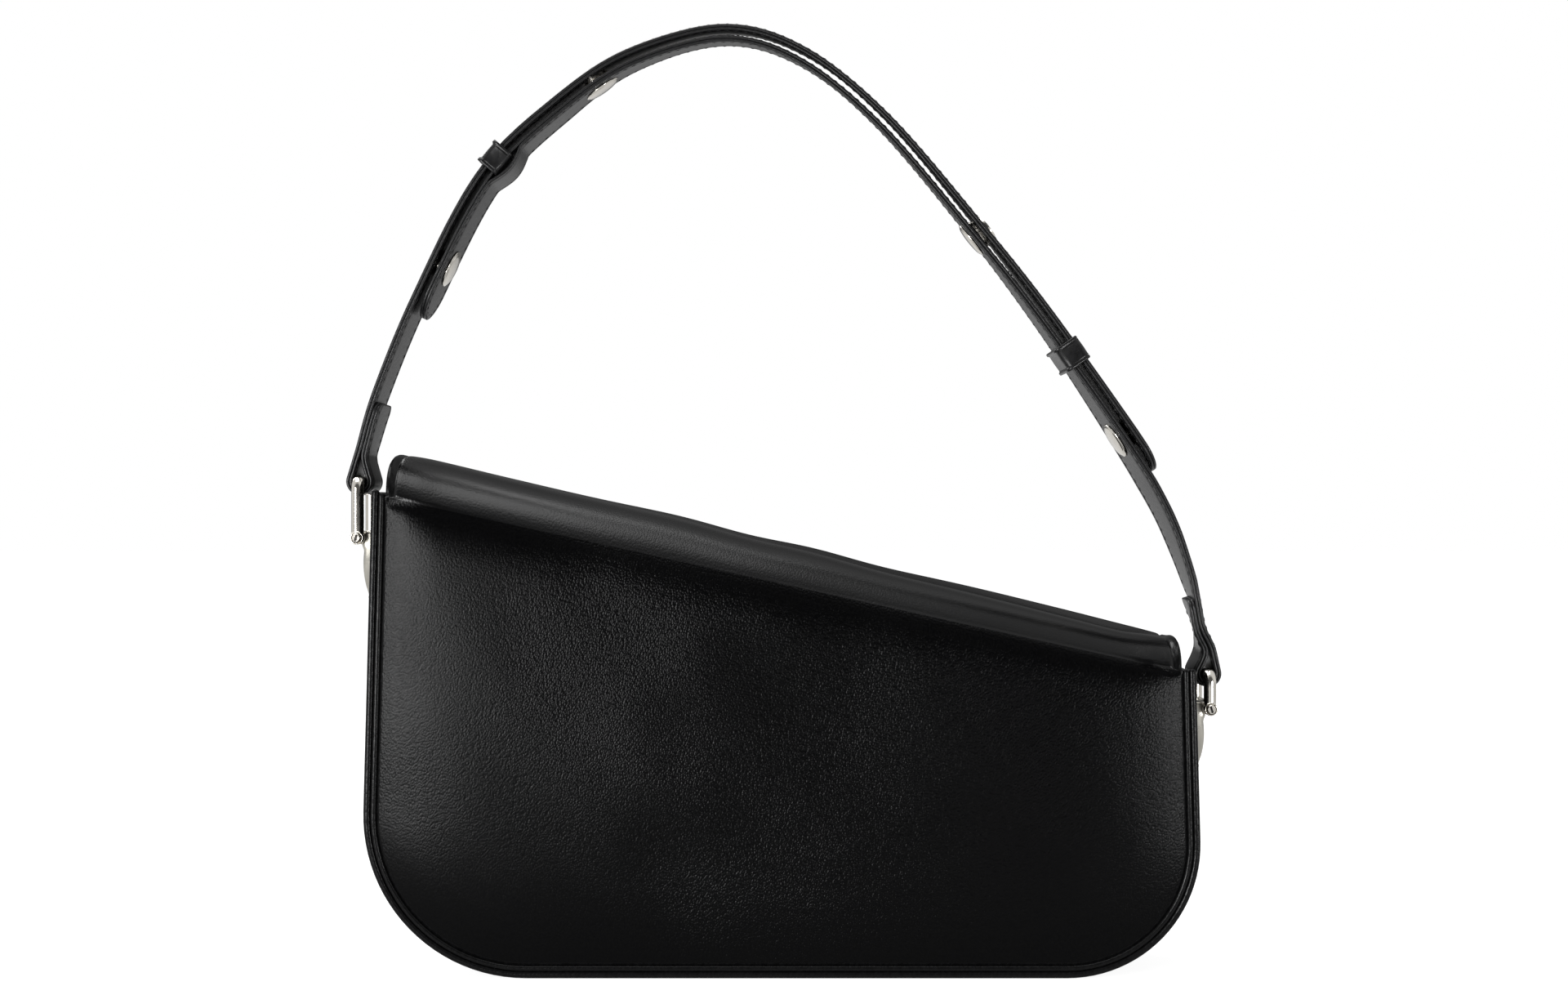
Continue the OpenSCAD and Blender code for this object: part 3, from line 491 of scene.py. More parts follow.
def skin(net, outline, columns, face, y_sign, roof, edged=False, lean=None, drop=0.0):
    """A leather face: rings along the open outline, a patch inside them, and rows above the mouth.

    columns are (inset, y) of each ring, from the border inward; face(x, z) is y inside them. roof(points) gives the
    rows above the mouth for the points along it. An edged skin has materials of its own in its border and roof."""
    n_c = len(columns)
    lines = np.array([u_line(outline, inset, drop) for inset, _ in columns])
    p = np.zeros((lines.shape[1], n_c, 3))
    p[:, :, 0], p[:, :, 2] = lines[:, :, 0].T, lines[:, :, 1].T
    p[:, :, 1] = [y_sign * y for _, y in columns]
    w = smooth01((np.arange(n_c) - n_c * 0.55) / (n_c * 0.45))
    p[:, :, 1] += y_sign * soft(p[:, :, 0], p[:, :, 2]) * w
    if lean:
        p[:, :, 1] -= y_sign * lean(p[:, :, 0], p[:, :, 2])
    ids = net.pts(p).reshape(p.shape[:2])
    flip = y_sign < 0
    if edged:
        net.quads(ids[:, :EDGE_COLS + 1], 1, flip)
    net.quads(ids[:, EDGE_COLS if edged else 0:], 0, flip)
    top, pid = coons(net, p[:, -1], ids[:, -1], lambda q, s: y_sign * face(q[..., 0], q[..., 2]))
    net.quads(pid, 0, flip)
    row_ids = np.concatenate([ids[0], pid[0, 1:-1], ids[-1][::-1]])
    rows = roof(np.concatenate([p[0], top, p[-1][::-1]]))
    rid = np.vstack([row_ids[None], net.pts(rows).reshape(len(rows), -1)])
    if edged:
        net.quads(rid[:, :EDGE_COLS + 1], 1, not flip)
        net.quads(rid[:, EDGE_COLS:-EDGE_COLS], 2, not flip)
        net.quads(rid[:, -EDGE_COLS - 1:], 1, not flip)
    else:
        net.quads(rid, 0, not flip)


# Profile across the flap's rolled edge: distance from the end, height over the leather
ROLL = [(1.25 - 1.25 * math.cos(a), -1.10 + 1.25 * math.sin(a)) for a in np.radians([-80, -45, -10, 20, 50, 75, 90])]
ROLL += [(2.0, 0.02), (2.5, -0.34), (2.8, -0.62), (3.05, -0.42), (3.4, -0.14), (3.9, -0.02), (4.7, 0.0)]
CROWN = [6.0, 8.0, 10.5, 13.5, 17.0, 21.5, 27.0, CROWN_W]
D_COLS = [d for d, _ in ROLL] + CROWN
H_COLS = [h for _, h in ROLL] + [0.0] * len(CROWN)
EDGE_COLS = 9


def roof_rows(angles, front):
    """Rows of the flap's top for a row of points along the mouth."""
    def rows(row):
        m = len(D_COLS)
        xs = [LEFT_X + d for d in D_COLS] + list(row[m:-m, 0]) + [RIGHT_X - d for d in D_COLS[::-1]]
        hs = H_COLS + [0.0] * (len(row) - 2 * m) + H_COLS[::-1]
        out = []
        for a in angles:
            c = abs(math.cos(a))
            line = []
            for x, y, h in zip(xs, row[:, 1], hs):
                w = smooth01((min(x - LEFT_X, RIGHT_X - x) - 8) / 25)
                ripple = w * (1 - c) * 0.35 * math.sin(x * 0.085 + 2.2 * math.sin(x * 0.031))
                q = roof_point(x, -h * (1 - 0.5 * c ** 8) - ripple, a)
                start = roof_point(x, 0, 0.0 if front else math.pi)
                q[1] += (y - start[1]) * max(0.0, c - 0.35) ** 2 / 0.65 ** 2
                line.append(q)
            out.append(line)
        return np.array(out)
    return rows


TURNS = [1.8, 4.5, 8, 12, 16.5, 21.5, 27, 33, 39.5, 46.5, 54, 61.5, 69, 76, 83, 90]
REAR_ANGLES, FRONT_ANGLES = np.radians([180 - a for a in TURNS]), np.radians(TURNS)

# Rear: the panel and the rear half of the flap's top are one sheet
tuck = np.linspace(3.4, FLAP_IN, EDGE_COLS)
tuck_y = np.linspace(23.9, STEP_Y - 0.25, EDGE_COLS)
rear_cols = list(zip(tuck, tuck_y))
for k, d in enumerate(D_COLS[EDGE_COLS:]):
    d -= 2.2 * (d < 12)
    rear_cols.append((FLAP_IN + max(0.12 * (k + 1), d), float(rear_face(max(0, d)))))
net = Net()
skin(net, BODY, rear_cols, lambda x, z: rear_face(inset_of(BODY, x, z) - FLAP_IN) + soft(x, z) - lean_in(x, z), -1,
     roof_rows(REAR_ANGLES, False), edged=True, lean=lean_in)
rear_leather = net.make("rear_leather", [LEATHER, EDGE, SMOOTH], outward=False)
# The crease that starts at both ends of the fold and fades inwards
for v in rear_leather.data.vertices:
    x, z = v.co.x * 1000, v.co.z * 1000
    if abs(z - float(mouth_z(x))) < 0.3:
        end = min(x - LEFT_X, RIGHT_X - x)
        v.co.y += 0.0009 * math.exp(-max(0.0, end - 3) / 9) * smooth01(end / 2)
UP = np.array([-SLOPE, 0, 1]) / math.hypot(SLOPE, 1)


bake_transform(rear_leather)
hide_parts("rear_panel", "flap_top")

# Front: the flap's front and the front half of its top
front_cols = [(d, FLAP_Y0 + 2.3 + h) for d, h in zip(D_COLS[:EDGE_COLS], H_COLS)]
front_cols += [(d, FLAP_RIM + h + FLAP_CROWN * float(puff((d - LIP) / CROWN_W)))
               for d, h in zip(D_COLS[EDGE_COLS:], H_COLS[EDGE_COLS:])]
front_cols[-1] = (CROWN_W, FLAP_RIM + FLAP_CROWN)
net = Net()
skin(net, FLAP, front_cols, lambda x, z: FLAP_RIM + FLAP_CROWN + soft(x, z), 1, roof_rows(FRONT_ANGLES, True),
     edged=True)
front_leather = net.make("flap_leather", [LEATHER, EDGE, SMOOTH], outward=False)
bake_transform(front_leather)
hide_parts("flap_front", "flap_edging")


# Linings of the flap: inside the same shapes
def lining_rows(row):
    return np.array([[roof_point(float(np.clip(q[0], LEFT_X + 1.0, RIGHT_X - 1.0)), FLAP_T, a) for q in row]
                     for a in FRONT_ANGLES])


in_cols = [(1.0, FLAP_Y0 + 0.02)] + [(d, FLAP_Y0) for d in (1.6, 2.6, 4, 8, 16, CROWN_W)]
net = Net()
skin(net, FLAP, in_cols, lambda x, z: FLAP_Y0 + 0 * x, 1, lining_rows)
flap_inside = net.make("flap_inside", SUEDE, outward=False)
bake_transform(flap_inside)
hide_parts("flap_lining")

net = Net()
xs = np.concatenate([[LEFT_X + 1.0], np.linspace(LEFT_X + 3, RIGHT_X - 3, 60), [RIGHT_X - 1.0]])
rows = [[np.array([x, -WALL_Y, mouth_z(x) - dz]) for x in xs] for dz in (12, 8, 4, 1)]
rows += [[roof_point(x, FLAP_T, a) for x in xs] for a in REAR_ANGLES[1:]]
net.quads(net.pts(np.array(rows)).reshape(len(rows), -1))
top_inside = net.make("top_inside", SUEDE, outward=False)
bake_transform(top_inside)
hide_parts("flap_top_lining")

# Front panel of the bag, under the flap, with its top edge turned in
f_cols = [(3.4, 23.9), (4.1, 24.4), (4.4, 24.62), (5.2, 24.72), (7, 24.82), (10, 24.9), (16, 24.97),
          (24, FRONT_Y), (CROWN_W, FRONT_Y)]
TURN_IN = ((24.7, 0.45), (24.1, 0.75), (23.3, 0.75), (22.6, 0.4), (22.15, -0.4), (WALL_Y, -2), (22.03, -6),
           (22.03, -12))


def turned_in(row):
    """Rows at most y from the middle and dz over the mouth."""
    out = []
    for y, dz in TURN_IN:
        q = np.array(row)
        q[:, 1] = np.minimum(q[:, 1], y)
        q[:, 2] += dz
        out.append(q)
    return np.array(out)


net = Net()
skin(net, BODY, f_cols, lambda x, z: FRONT_Y + 0 * x, 1, turned_in, drop=0.8)
front_face = net.make("front_face", LEATHER, outward=False, body="bag", slot="leather", replaces=("front_panel",))


# ---- edging and piping
def along_outline(i, y, drop=0.0):
    """Points of the body's outline, in by i, and their outward directions."""
    line = u_line(BODY, i, drop)
    flat = np.zeros(len(line))
    return np.stack([line[:, 0], flat + y, line[:, 1]], 1), np.stack([NORMALS[:, 0], flat, NORMALS[:, 1]], 1)


def rolled(r, flat):
    a = np.linspace(0, math.pi, 15)
    return np.array([[-r, 0], [r, 0]] + [[r * math.cos(t), flat + r * math.sin(t)] for t in a])


# Name, inset, start beside the panel, radius, flat part and how far it stays below the mouth
ROLLS = (("edging", EDGE_R, 22.6, EDGE_R, 1.25, -0.5), ("piping", LIP + PIPE_R, RIM_Y, PIPE_R * 0.97, PIPE_R, 0.1))
for side, tag in ((-1, "rear"), (1, "front")):
    for name, inset, y0, r, flat, drop in ROLLS:
        net = Net()
        o, out = along_outline(inset, side * y0, drop)
        sweep(net, o, out, (0, side, 0), rolled(r, flat)[::side], dome=1.1)
        net.make(f"{tag}_{name}_roll", EDGE, body="bag", slot="leather_edge", replaces=(f"{tag}_{name}",))

# ---- gusset and its bound ends
GUSSET_T, SEAM_Y = 1.6, 21.6
net = Net()
o, out = along_outline(0.0, 0.0)
ys = np.array([-22.58, -22.3, -21.6, -20.6, -19, -16, -12, -8, -4, 0, 4, 8, 12, 16, 19, 20.6, 21.6, 22.3, 22.58])
seam = -0.02 - 0.25 * np.exp(-((np.abs(ys) - SEAM_Y) / 0.5) ** 2)
sag = 0.42 * np.clip(1 - (np.abs(ys) / 20.6) ** 4, 0, 1)
free = smooth01((np.where(o[:, 0] < 0, 112, 58) - o[:, 2]) / 12) * smooth01((o[:, 2] - 3) / 25)   # below the lugs
m = len(ys)
sec = np.zeros((len(o), 2 * m, 2))
sec[:, :m, 1], sec[:, m:, 1] = ys, ys[::-1]
sec[:, :m, 0] = seam - sag * free[:, None]
sec[:, m:, 0] = -GUSSET_T
sweep(net, o, out, (0, 1, 0), sec[:, ::-1])
net.make("gusset_strip", LEATHER, body="bag", slot="leather", replaces=("gusset",))

BIND_T = 0.35
sec = [(BIND_T, -4), (BIND_T, -0.6), (BIND_T * 0.7, -0.1), (0.2, 0.22)]
sec += [(-0.8 + 1.05 * math.cos(a), -0.35 + 0.95 * math.sin(a)) for a in np.radians([40, 65, 90, 115, 140])]
sec += [(-1.8, 0.22), (-GUSSET_T - BIND_T * 0.7, -0.1), (-GUSSET_T - BIND_T, -0.6), (-GUSSET_T - BIND_T, -4),
        (-1.62, -4), (-1.62, -0.9), (0.02, -0.9), (0.02, -4)]
for side, tag in ((-1, "left"), (1, "right")):
    top = side_top(BODY, 0, side)
    nrm, up = side_dirs(side)
    o = [[top[0], y, top[1]] for y in np.linspace(-22.5, 22.5, 30)]
    net = Net()
    sweep(net, o, (nrm[0], 0, nrm[1]), (up[0], 0, up[1]), np.array(sec)[::side])
    net.make(f"{tag}_binding", EDGE, body="bag", slot="leather_edge", replaces=(f"{tag}_gusset_binding",))

# ---- inside
net = Net()
o, out = along_outline(4.5, 0.0, drop=4.5)
r = 3.0
prof = [(r * math.cos(a) - r, LINING_Y - r + r * math.sin(a)) for a in np.radians([90, 72, 54, 36, 18, 0])]
prof = [(h, -y) for h, y in prof] + [(-0.15 * (1 - (y / 18) ** 2), y) for y in (-12, -6, 0, 6, 12)] + prof[::-1]
cols = sweep(net, o, out, (0, 1, 0), prof, closed=False, caps=False)
for k, sgn in ((0, -1), (-1, 1)):
    rim = net.v[0].reshape(len(o), -1, 3)[:, k]
    _, pid = coons(net, rim, cols[:, k],
                   lambda q, s: q[..., 1] - sgn * 0.25 * np.sin(q[..., 0] * 0.06) * np.sin(np.pi * s))
    net.quads(pid, flip=sgn > 0)
net.make("inner_bag", SUEDE, outward=False, body="bag", slot="suede", replaces=("lining",))

net = Net()
sec = np.array([(-0.05, -8), (0.75, -7.9), (0.8, -7.2), (0.8, -0.5), (0.6, 0.2), (0.1, 0.5), (-0.6, 0.5), (-0.9, 0),
                (-0.9, -3), (-0.05, -3)])
xs = np.linspace(side_top(BODY, 5.5, -1)[0] + 2, side_top(BODY, 5.5, 1)[0] - 2, 50)
for sgn in (-1, 1):
    sweep(net, [[x, sgn * LINING_Y, mouth_z(x) - 4.4] for x in xs], (0, -sgn, 0), UP, sec[::-sgn])
net.make("inner_hem", EDGE, body="bag", slot="leather_edge")

POCKET_X, POCKET_LOW, POCKET_TOP = 50, 22, 80
net = Net()
xs = np.linspace(-POCKET_X, POCKET_X, 41)
gx, gz = np.meshgrid(xs, np.linspace(POCKET_LOW, POCKET_TOP, 25))
e = smooth01(np.minimum(np.minimum(POCKET_X - np.abs(gx), gz - POCKET_LOW) / 4.0, 1))
gy = -LINING_Y + 0.35 + 1.2 * e + 0.12 * np.sin(gx * 0.09) * e
net.quads(net.pts(np.stack([gx, gy, gz], -1)).reshape(gx.shape), flip=True)
sweep(net, np.stack([xs, gy[-1] - 0.2, gz[-1]], 1), (0, 1, 0), (0, 0, 1),
      [(-0.5, -5), (-0.6, -0.4), (-0.3, 0.25), (0.3, 0.25), (0.6, -0.4), (0.55, -5)], mat=1)
net.make("slip_pocket", [SUEDE, EDGE], body="bag", slot="suede", replaces=("inner_pocket",))


# ---- stitches
def stitches(name, places, length, radius):
    """places are rows of (point, direction, outward)."""
    net = Net()
    ring = circle(1.0, 6)
    for p, t, w in places:
        p, t, w = np.asarray(p, float), unit(t), unit(w)
        o = np.array([p + t * length * k for k in (-0.5, -0.36, 0.0, 0.36, 0.5)])
        o += np.outer([-0.22, -0.02, 0.1, -0.02, -0.22], w)
        sweep(net, o, np.cross(t, w), w, [ring * radius * k for k in (0.45, 0.9, 1.0, 0.9, 0.45)])
    net.make(name, THREAD, body="strap", slot="leather_edge")


# ---- straps
SW, ST, SG = 19.0, 2.0, 1.6   # width and thickness of a strap, and the gap between the two
LAYER = ST / 2
TIP_R, END_R, SEAM_IN, PITCH = SW / 2, 3.2, 1.75, 3.0
RING_R, LOOP_R, RETURN_L = 1.95, 2.2, 17
SCREW = {-1: np.array([-132.638, 135.2]), 1: np.array([133.799, 81.761])}
BAR = {-1: np.array([-132.638, 152.85]), 1: np.array([133.799, 92.511])}
# Knots of the route between the bars, as shares of the way from bar to bar and of the strap's height over it
STRAP_H = 168
SHARES = [(0.026, 0.172), (0.073, 0.369), (0.148, 0.623), (0.237, 0.794), (0.32, 0.913), (0.429, 0.999),
          (0.522, 0.992), (0.617, 0.906), (0.727, 0.741), (0.812, 0.596), (0.905, 0.413), (0.955, 0.299),
          (0.982, 0.206), (0.999, 0.125)]
KNOTS = [BAR[-1] + [0.9, LOOP_R + 5.6]]
KNOTS += [BAR[-1] + s * (BAR[1] - BAR[-1]) + [0, h * STRAP_H] for s, h in SHARES]
KNOTS += [BAR[1] + [3.4, LOOP_R + 5.6]]
LAST = len(KNOTS) - 1
PADDED = [2 * KNOTS[0] - KNOTS[1], *KNOTS, 2 * KNOTS[-1] - KNOTS[-2]]


def route(t):
    """A point of the smooth curve through the knots. It lies between the two straps."""
    k = int(max(0, min(LAST - 1, math.floor(t))))
    u = t - k
    a, b, c, d = PADDED[k:k + 4]
    return 0.5 * (2 * b + u * (c - a) + u * u * (2 * a - 5 * b + 4 * c - d) + u ** 3 * (3 * b - a - 3 * c + d))


def route_dir(t):
    return unit(route(min(LAST, t + 0.01)) - route(max(0, t - 0.01)))


def left_of(t):
    d = route_dir(t)
    return np.array([-d[1], d[0]])


def beside(t, off):
    return route(t) + off * left_of(t)


def knot_len(t):
    return np.linalg.norm(route(t + 0.25) - route(t - 0.25)) * 2


def along(t, dist):
    return t + dist / knot_len(max(0.25, min(LAST - 0.25, t + 0.25 * np.sign(dist))))


# Places on the route of the straps' tips, the snaps and the keepers, and the bulge that lets the left keeper through
OUTER_TIP, INNER_TIP, SNAPS = 11.5, 1.85, (2.3, 4.5, 9.06, 11.0)
LEFT_KEEPER, RIGHT_KEEPER = 3.18, 10.3
BULGE_L, BULGE_H = 16.0, 2.1
# Lean of the straps about the route, in degrees by place
TWIST = [(0, 0), (1, -2.0), (2.5, -2.5), (4, 0), (5.5, 6), (7.5, 8), (9, 5), (10.3, 0), (11, -5), (11.6, -7),
         (12.5, -5), (13.4, -1), (14.3, 8), (15, 10)]


def twist(t):
    return math.radians(np.interp(t, *zip(*TWIST)))


def ribbon_path(side, tip, join, back, mid, ret):
    """Middle line of a strap: from its tip along the route, round the bar and back beside itself.

    Returns points, normals and places on the route, and how many points reach to the join and to the loop's end."""
    c = BAR[side]
    rm = LOOP_R + ST / 2
    n_main = int(abs(tip - join) * knot_len((tip + join) / 2) / 1.3)
    rows = [(beside(t, mid), left_of(t), t) for t in np.linspace(tip, join, n_main)]
    p, q = beside(join, mid), beside(join, ret)
    a0 = math.atan2(*(p - c)[::-1]) - side * math.acos(rm / np.linalg.norm(p - c))
    a1 = math.atan2(*(q - c)[::-1]) + side * math.acos(rm / np.linalg.norm(q - c)) - side * 2 * math.pi
    arc = [np.array([math.cos(a), math.sin(a)]) for a in (a0 + (a1 - a0) * k / 36 for k in range(37))]
    first, last, n = arc[0], arc[-1], left_of(join)
    part = (0.25, 0.5, 0.75)
    rows += [(p * (1 - f) + (c + rm * first) * f, unit(n * (1 - f) + first * f), join) for f in part]
    rows += [(c + rm * d, d, join) for d in arc]
    rows += [((c + rm * last) * (1 - f) + q * f, unit(last * (1 - f) - n * f), join) for f in part]
    n_loop = len(rows)
    rows += [(beside(t, ret), -left_of(t), t) for t in np.linspace(join, back, 24)]
    pts, nrm, plc = (np.array(r) for r in zip(*rows))
    # Leather has no kinks: away from the bar the line is smoothed over a few millimetres
    seg = np.concatenate([[0], np.cumsum(np.linalg.norm(np.diff(pts, axis=0), axis=1))])
    even = np.arange(0, seg[-1], 0.25)
    kern = np.exp(-(np.arange(-16, 17) / 8.0) ** 2)
    kern /= kern.sum()
    smoothed = np.zeros_like(pts)
    for k in (0, 1):
        dense = np.pad(np.interp(even, seg, pts[:, k]), 16, mode="reflect", reflect_type="odd")
        smoothed[:, k] = np.interp(seg, even, np.convolve(dense, kern, "valid"))
    free = smooth01((np.linalg.norm(pts - c, axis=1) - rm - 0.3) / 2.0)[:, None]
    pts = pts * (1 - free) + smoothed * free
    flow = unit(np.gradient(pts, axis=0))
    turn = np.stack([-flow[:, 1], flow[:, 0]], 1) * side
    turn *= np.sign((turn * nrm).sum(1))[:, None]
    return pts, unit(nrm * (1 - free) + turn * free), plc, n_main, n_loop


def layer_section(hw, out, inn):
    """Closed section of one layer, as (across, through). out is its outer face, inn the face that is glued."""
    g, s = SEAM_IN, (1 if out > inn else -1)
    half = [(0, out + s * 0.08), (hw * 0.55, out + s * 0.05), (hw - g - 0.45, out), (hw - g, out - s * 0.22),
            (hw - g + 0.45, out), (hw - 1.0, out), (hw - 0.45, out - s * 0.02), (hw - 0.12, out - s * 0.2),
            (hw, out - s * 0.45), (hw - 0.03, inn + s * 0.2), (hw - 0.26, inn + s * 0.01), (hw * 0.5, inn), (0, inn)]
    half = [(max(v, 0.02 * k), h) for k, (v, h) in enumerate(half)]
    mirror = [(-v, h) for v, h in half[::-1]][1:-1]
    return np.array((half + mirror)[::s])


def strap(name, side, tip, join, back, mid, ret, node, bulge=None):
    """Both layers of a strap, and its stitches."""
    pts, nrm, plc, n_main, n_loop = ribbon_path(side, tip, join, back, mid, ret)
    s = np.concatenate([[0], np.cumsum(np.linalg.norm(np.diff(pts, axis=0), axis=1))])
    total, join_s, loop_s = s[-1], s[n_main - 1], s[n_loop - 1]
    round_tip = TIP_R - TIP_R * np.cos(np.radians(np.linspace(3, 90, 14)))
    fine = np.unique(np.concatenate([round_tip, s[s > 10], total - np.array([0.0, 0.4, 1.0, 2.0, END_R])]))
    fine = fine[fine < total + 1e-9]
    x, z, nx, nz = (np.interp(fine, s, q) for q in (*pts.T, *nrm.T))
    pl = np.interp(fine, s, plc)
    o = np.stack([x, 0 * x, z], 1)
    n3 = unit(np.stack([nx, 0 * x, nz], 1))
    main = fine <= join_s
    # Both legs lean alike, while the loop stays square to its bar
    gone = np.maximum(join_s - fine, fine - loop_s)
    tw = np.array([twist(p) for p in pl]) * np.where(main, 1.0, -1.0) * smooth01(gone / 9)
    c, d, y = np.cos(tw)[:, None], np.sin(tw)[:, None], np.array([0, 1.0, 0])
    w3, m3 = c * y + d * n3, c * n3 - d * y
    in_bulge = (pl - bulge[0]) / (bulge[1] - bulge[0]) if bulge else -np.ones(len(pl))
    secs = ([], [])
    for f, u, is_main in zip(fine, in_bulge, main):
        hw, e = SW / 2, total - f
        if f < TIP_R:
            hw = math.sqrt(max(0.3, TIP_R ** 2 - (TIP_R - f) ** 2))
        if e < END_R:
            hw = SW / 2 - END_R + math.sqrt(max(0.0, END_R ** 2 - (END_R - e) ** 2))
        dip = BULGE_H * math.sin(math.pi * u) if is_main and 0 < u < 1 else 0.0
        secs[0].append(layer_section(hw, LAYER, 0.01))
        secs[1].append(layer_section(hw, -LAYER - dip, -0.01 - dip))
    net = Net()
    for sec in secs:
        sweep(net, o, w3, m3, np.array(sec)[:, ::-side])
    net.make(name, STRAP, body="strap", slot="leather", replaces=(node,))
    places = []
    deep = ST / 2 - 0.12
    for f in np.concatenate([np.arange(11.0, join_s + 4, PITCH), np.arange(loop_s + 1.5, total - 2.5, PITCH)]):
        k = np.searchsorted(fine, f)
        if k >= len(fine) - 1:
            continue
        a = (f - fine[k - 1]) / (fine[k] - fine[k - 1])
        q = o[k - 1] * (1 - a) + o[k] * a
        t = unit(o[k] - o[k - 1])
        for v in (-1, 1):
            base = q + w3[k] * v * (SW / 2 - SEAM_IN)
            places.append((base + m3[k] * deep, t, m3[k]))
            if not 0 < in_bulge[k] < 1:
                places.append((base - m3[k] * deep, t, -m3[k]))
    k = np.searchsorted(fine, TIP_R)
    t0, r = unit(o[k + 1] - o[k]), TIP_R - SEAM_IN
    for a in np.radians(np.arange(-80, 81, 20)):
        at = TIP_R - r * math.cos(a)
        q = np.array([np.interp(at, fine, x), 0, np.interp(at, fine, z)]) + w3[k] * math.sin(a) * r
        for sg in (-1, 1):
            places.append((q + sg * m3[k] * deep, t0 * math.sin(a) + w3[k] * math.cos(a), sg * m3[k]))
    stitches(f"{name}_stitches", places, 2.0, 0.26)


half_gap = SG / 2
BULGE = (along(LEFT_KEEPER, -BULGE_L / 2), along(LEFT_KEEPER, BULGE_L / 2))
strap("outer_band", -1, OUTER_TIP, 0, along(0, RETURN_L), half_gap + ST / 2, half_gap - ST / 2, "outer_strap")
strap("inner_band", 1, INNER_TIP, LAST, along(LAST, -RETURN_L), -half_gap - ST / 2, -half_gap - 1.5 * ST,
      "inner_strap", BULGE)


def on_route(t):
    """The point between the straps at t, their direction, and the leaning axes out of them and across them."""
    p, d, n, tw = route(t), route_dir(t), left_of(t), twist(t)
    n, y = np.array([n[0], 0, n[1]]), np.array([0, 1.0, 0])
    return (np.array([p[0], 0, p[1]]), np.array([d[0], 0, d[1]]),
            math.cos(tw) * n - math.sin(tw) * y, math.cos(tw) * y + math.sin(tw) * n)


# Keepers: a band swept round its strap, with raised rims. The leg beneath the strap is thinner and has none
PLAY, LEG_T, KEEPER_T, KEEPER_W, KEEPER_R, RIM = 0.35, 0.8, 1.3, 8.3, 0.7, 0.5
for t, up, tag, depth in ((LEFT_KEEPER, 1, "left", half_gap + LAYER), (RIGHT_KEEPER, -1, "right", half_gap + ST)):
    c, d, n, w = on_route(t)
    n = n * up
    lo, hi, kl = -depth - PLAY, half_gap + ST + PLAY, KEEPER_W / 2
    cx, r = SW / 2 + 0.3 - KEEPER_R, KEEPER_R
    path = []
    for x, z, a0 in ((cx, hi - r, 0), (-cx, hi - r, 90), (-cx, lo + r, 180), (cx, lo + r, 270)):
        path += [(x + r * math.cos(a), z + r * math.sin(a)) for a in np.radians(a0 + np.array([0, 22, 45, 68, 90]))]
        if a0 == 0:
            path += [(f * cx, hi) for f in (0.6, 0.2, -0.2, -0.6)]
        if a0 == 180:
            path += [(f * cx, lo) for f in (-0.6, -0.2, 0.2, 0.6)]
    path = np.array(path + [path[0]])
    tang = unit(np.roll(path[:-1], -1, 0) - np.roll(path[:-1], 1, 0))
    tang = np.vstack([tang, tang[:1]])
    sec = []
    for z in path[:, 1]:
        thick = LEG_T + (KEEPER_T - LEG_T) * np.clip((z - lo) / 0.9, 0, 1)
        top = thick + RIM * smooth01((z - hi + 1.0) / 0.8)
        prof = [(-kl, 0.15), (-kl + 0.1, 0.0), (kl - 0.1, 0.0), (kl, 0.15), (kl, top - 0.25), (kl - 0.2, top - 0.05),
                (kl - 0.55, top), (kl - 0.9, top - 0.05), (kl - 1.1, top - 0.25), (kl - 1.2, thick + 0.02),
                (kl - 1.6, thick - 0.08), (0, thick)]
        sec.append(prof + [(-q[0], q[1]) for q in prof[::-1][1:8]])
    net = Net()
    sweep(net, c + path[:, :1] * w + path[:, 1:] * n, d, tang[:, 1:] * w - tang[:, :1] * n,
          np.array(sec)[:, ::-up], caps=False)
    net.make(f"{tag}_loop", PAINT, body="strap", slot="leather_edge", replaces=(f"{tag}_keeper",))

# Cross stitches that close the lining at both sides of its bulge
places = []
for b in BULGE:
    c, _, n, w = on_route(b)
    places += [(c - n * (half_gap + ST - 0.1) + w * k, w, -n) for k in np.arange(-6, 6.1, 2.4)]
stitches("bulge_stitches", places, 1.7, 0.25)

# ---- snaps: caps are turned, the rest keeps its CAD shape
CAP_R = 6.0
prof = [(0.0, CAP_R - 0.5), (0.05, CAP_R - 0.1), (0.25, CAP_R), (0.45, CAP_R - 0.05), (0.55, CAP_R - 0.3),
        (0.62, CAP_R - 0.55)]
prof += [(0.62 + 0.78 * math.sin(a), (CAP_R - 0.6) * math.cos(a))
         for a in np.radians([8, 18, 28, 38, 48, 58, 68, 78, 86, 90])]
net = Net()
for t in SNAPS:
    c, d, n, _ = on_route(t)
    lathe(net, c - n * (half_gap + ST + 0.1), -n, d, prof, 48)
net.make("snap_domes", NICKEL, body="strap", slot="polished_nickel", replaces=("snap_caps",))

# ---- metal: rings, screws, lugs
LEG_Y, EYE, BARREL_R, SCREW_R, HEAD_R = 12.2, 2.1, 2.1, 1.0, 1.42
LUG_H, LUG_T, BALL_R, RING_OFF = 19.0, 4.6, 0.9, 6.1
BARREL_Y = LEG_Y - EYE - 0.1
SLOT, SLOT_TOP, SLOT_FLOOR = 0.34, 0.8, 0.2   # half width of a screw's slot, and heights of its rim and floor
PIN_END = LEG_Y + EYE + 0.05


def bezier(a, b, c, t):
    a, b, c = (np.array(q, float) for q in (a, b, c))
    return (1 - t) ** 2 * a + 2 * t * (1 - t) * b + t * t * c


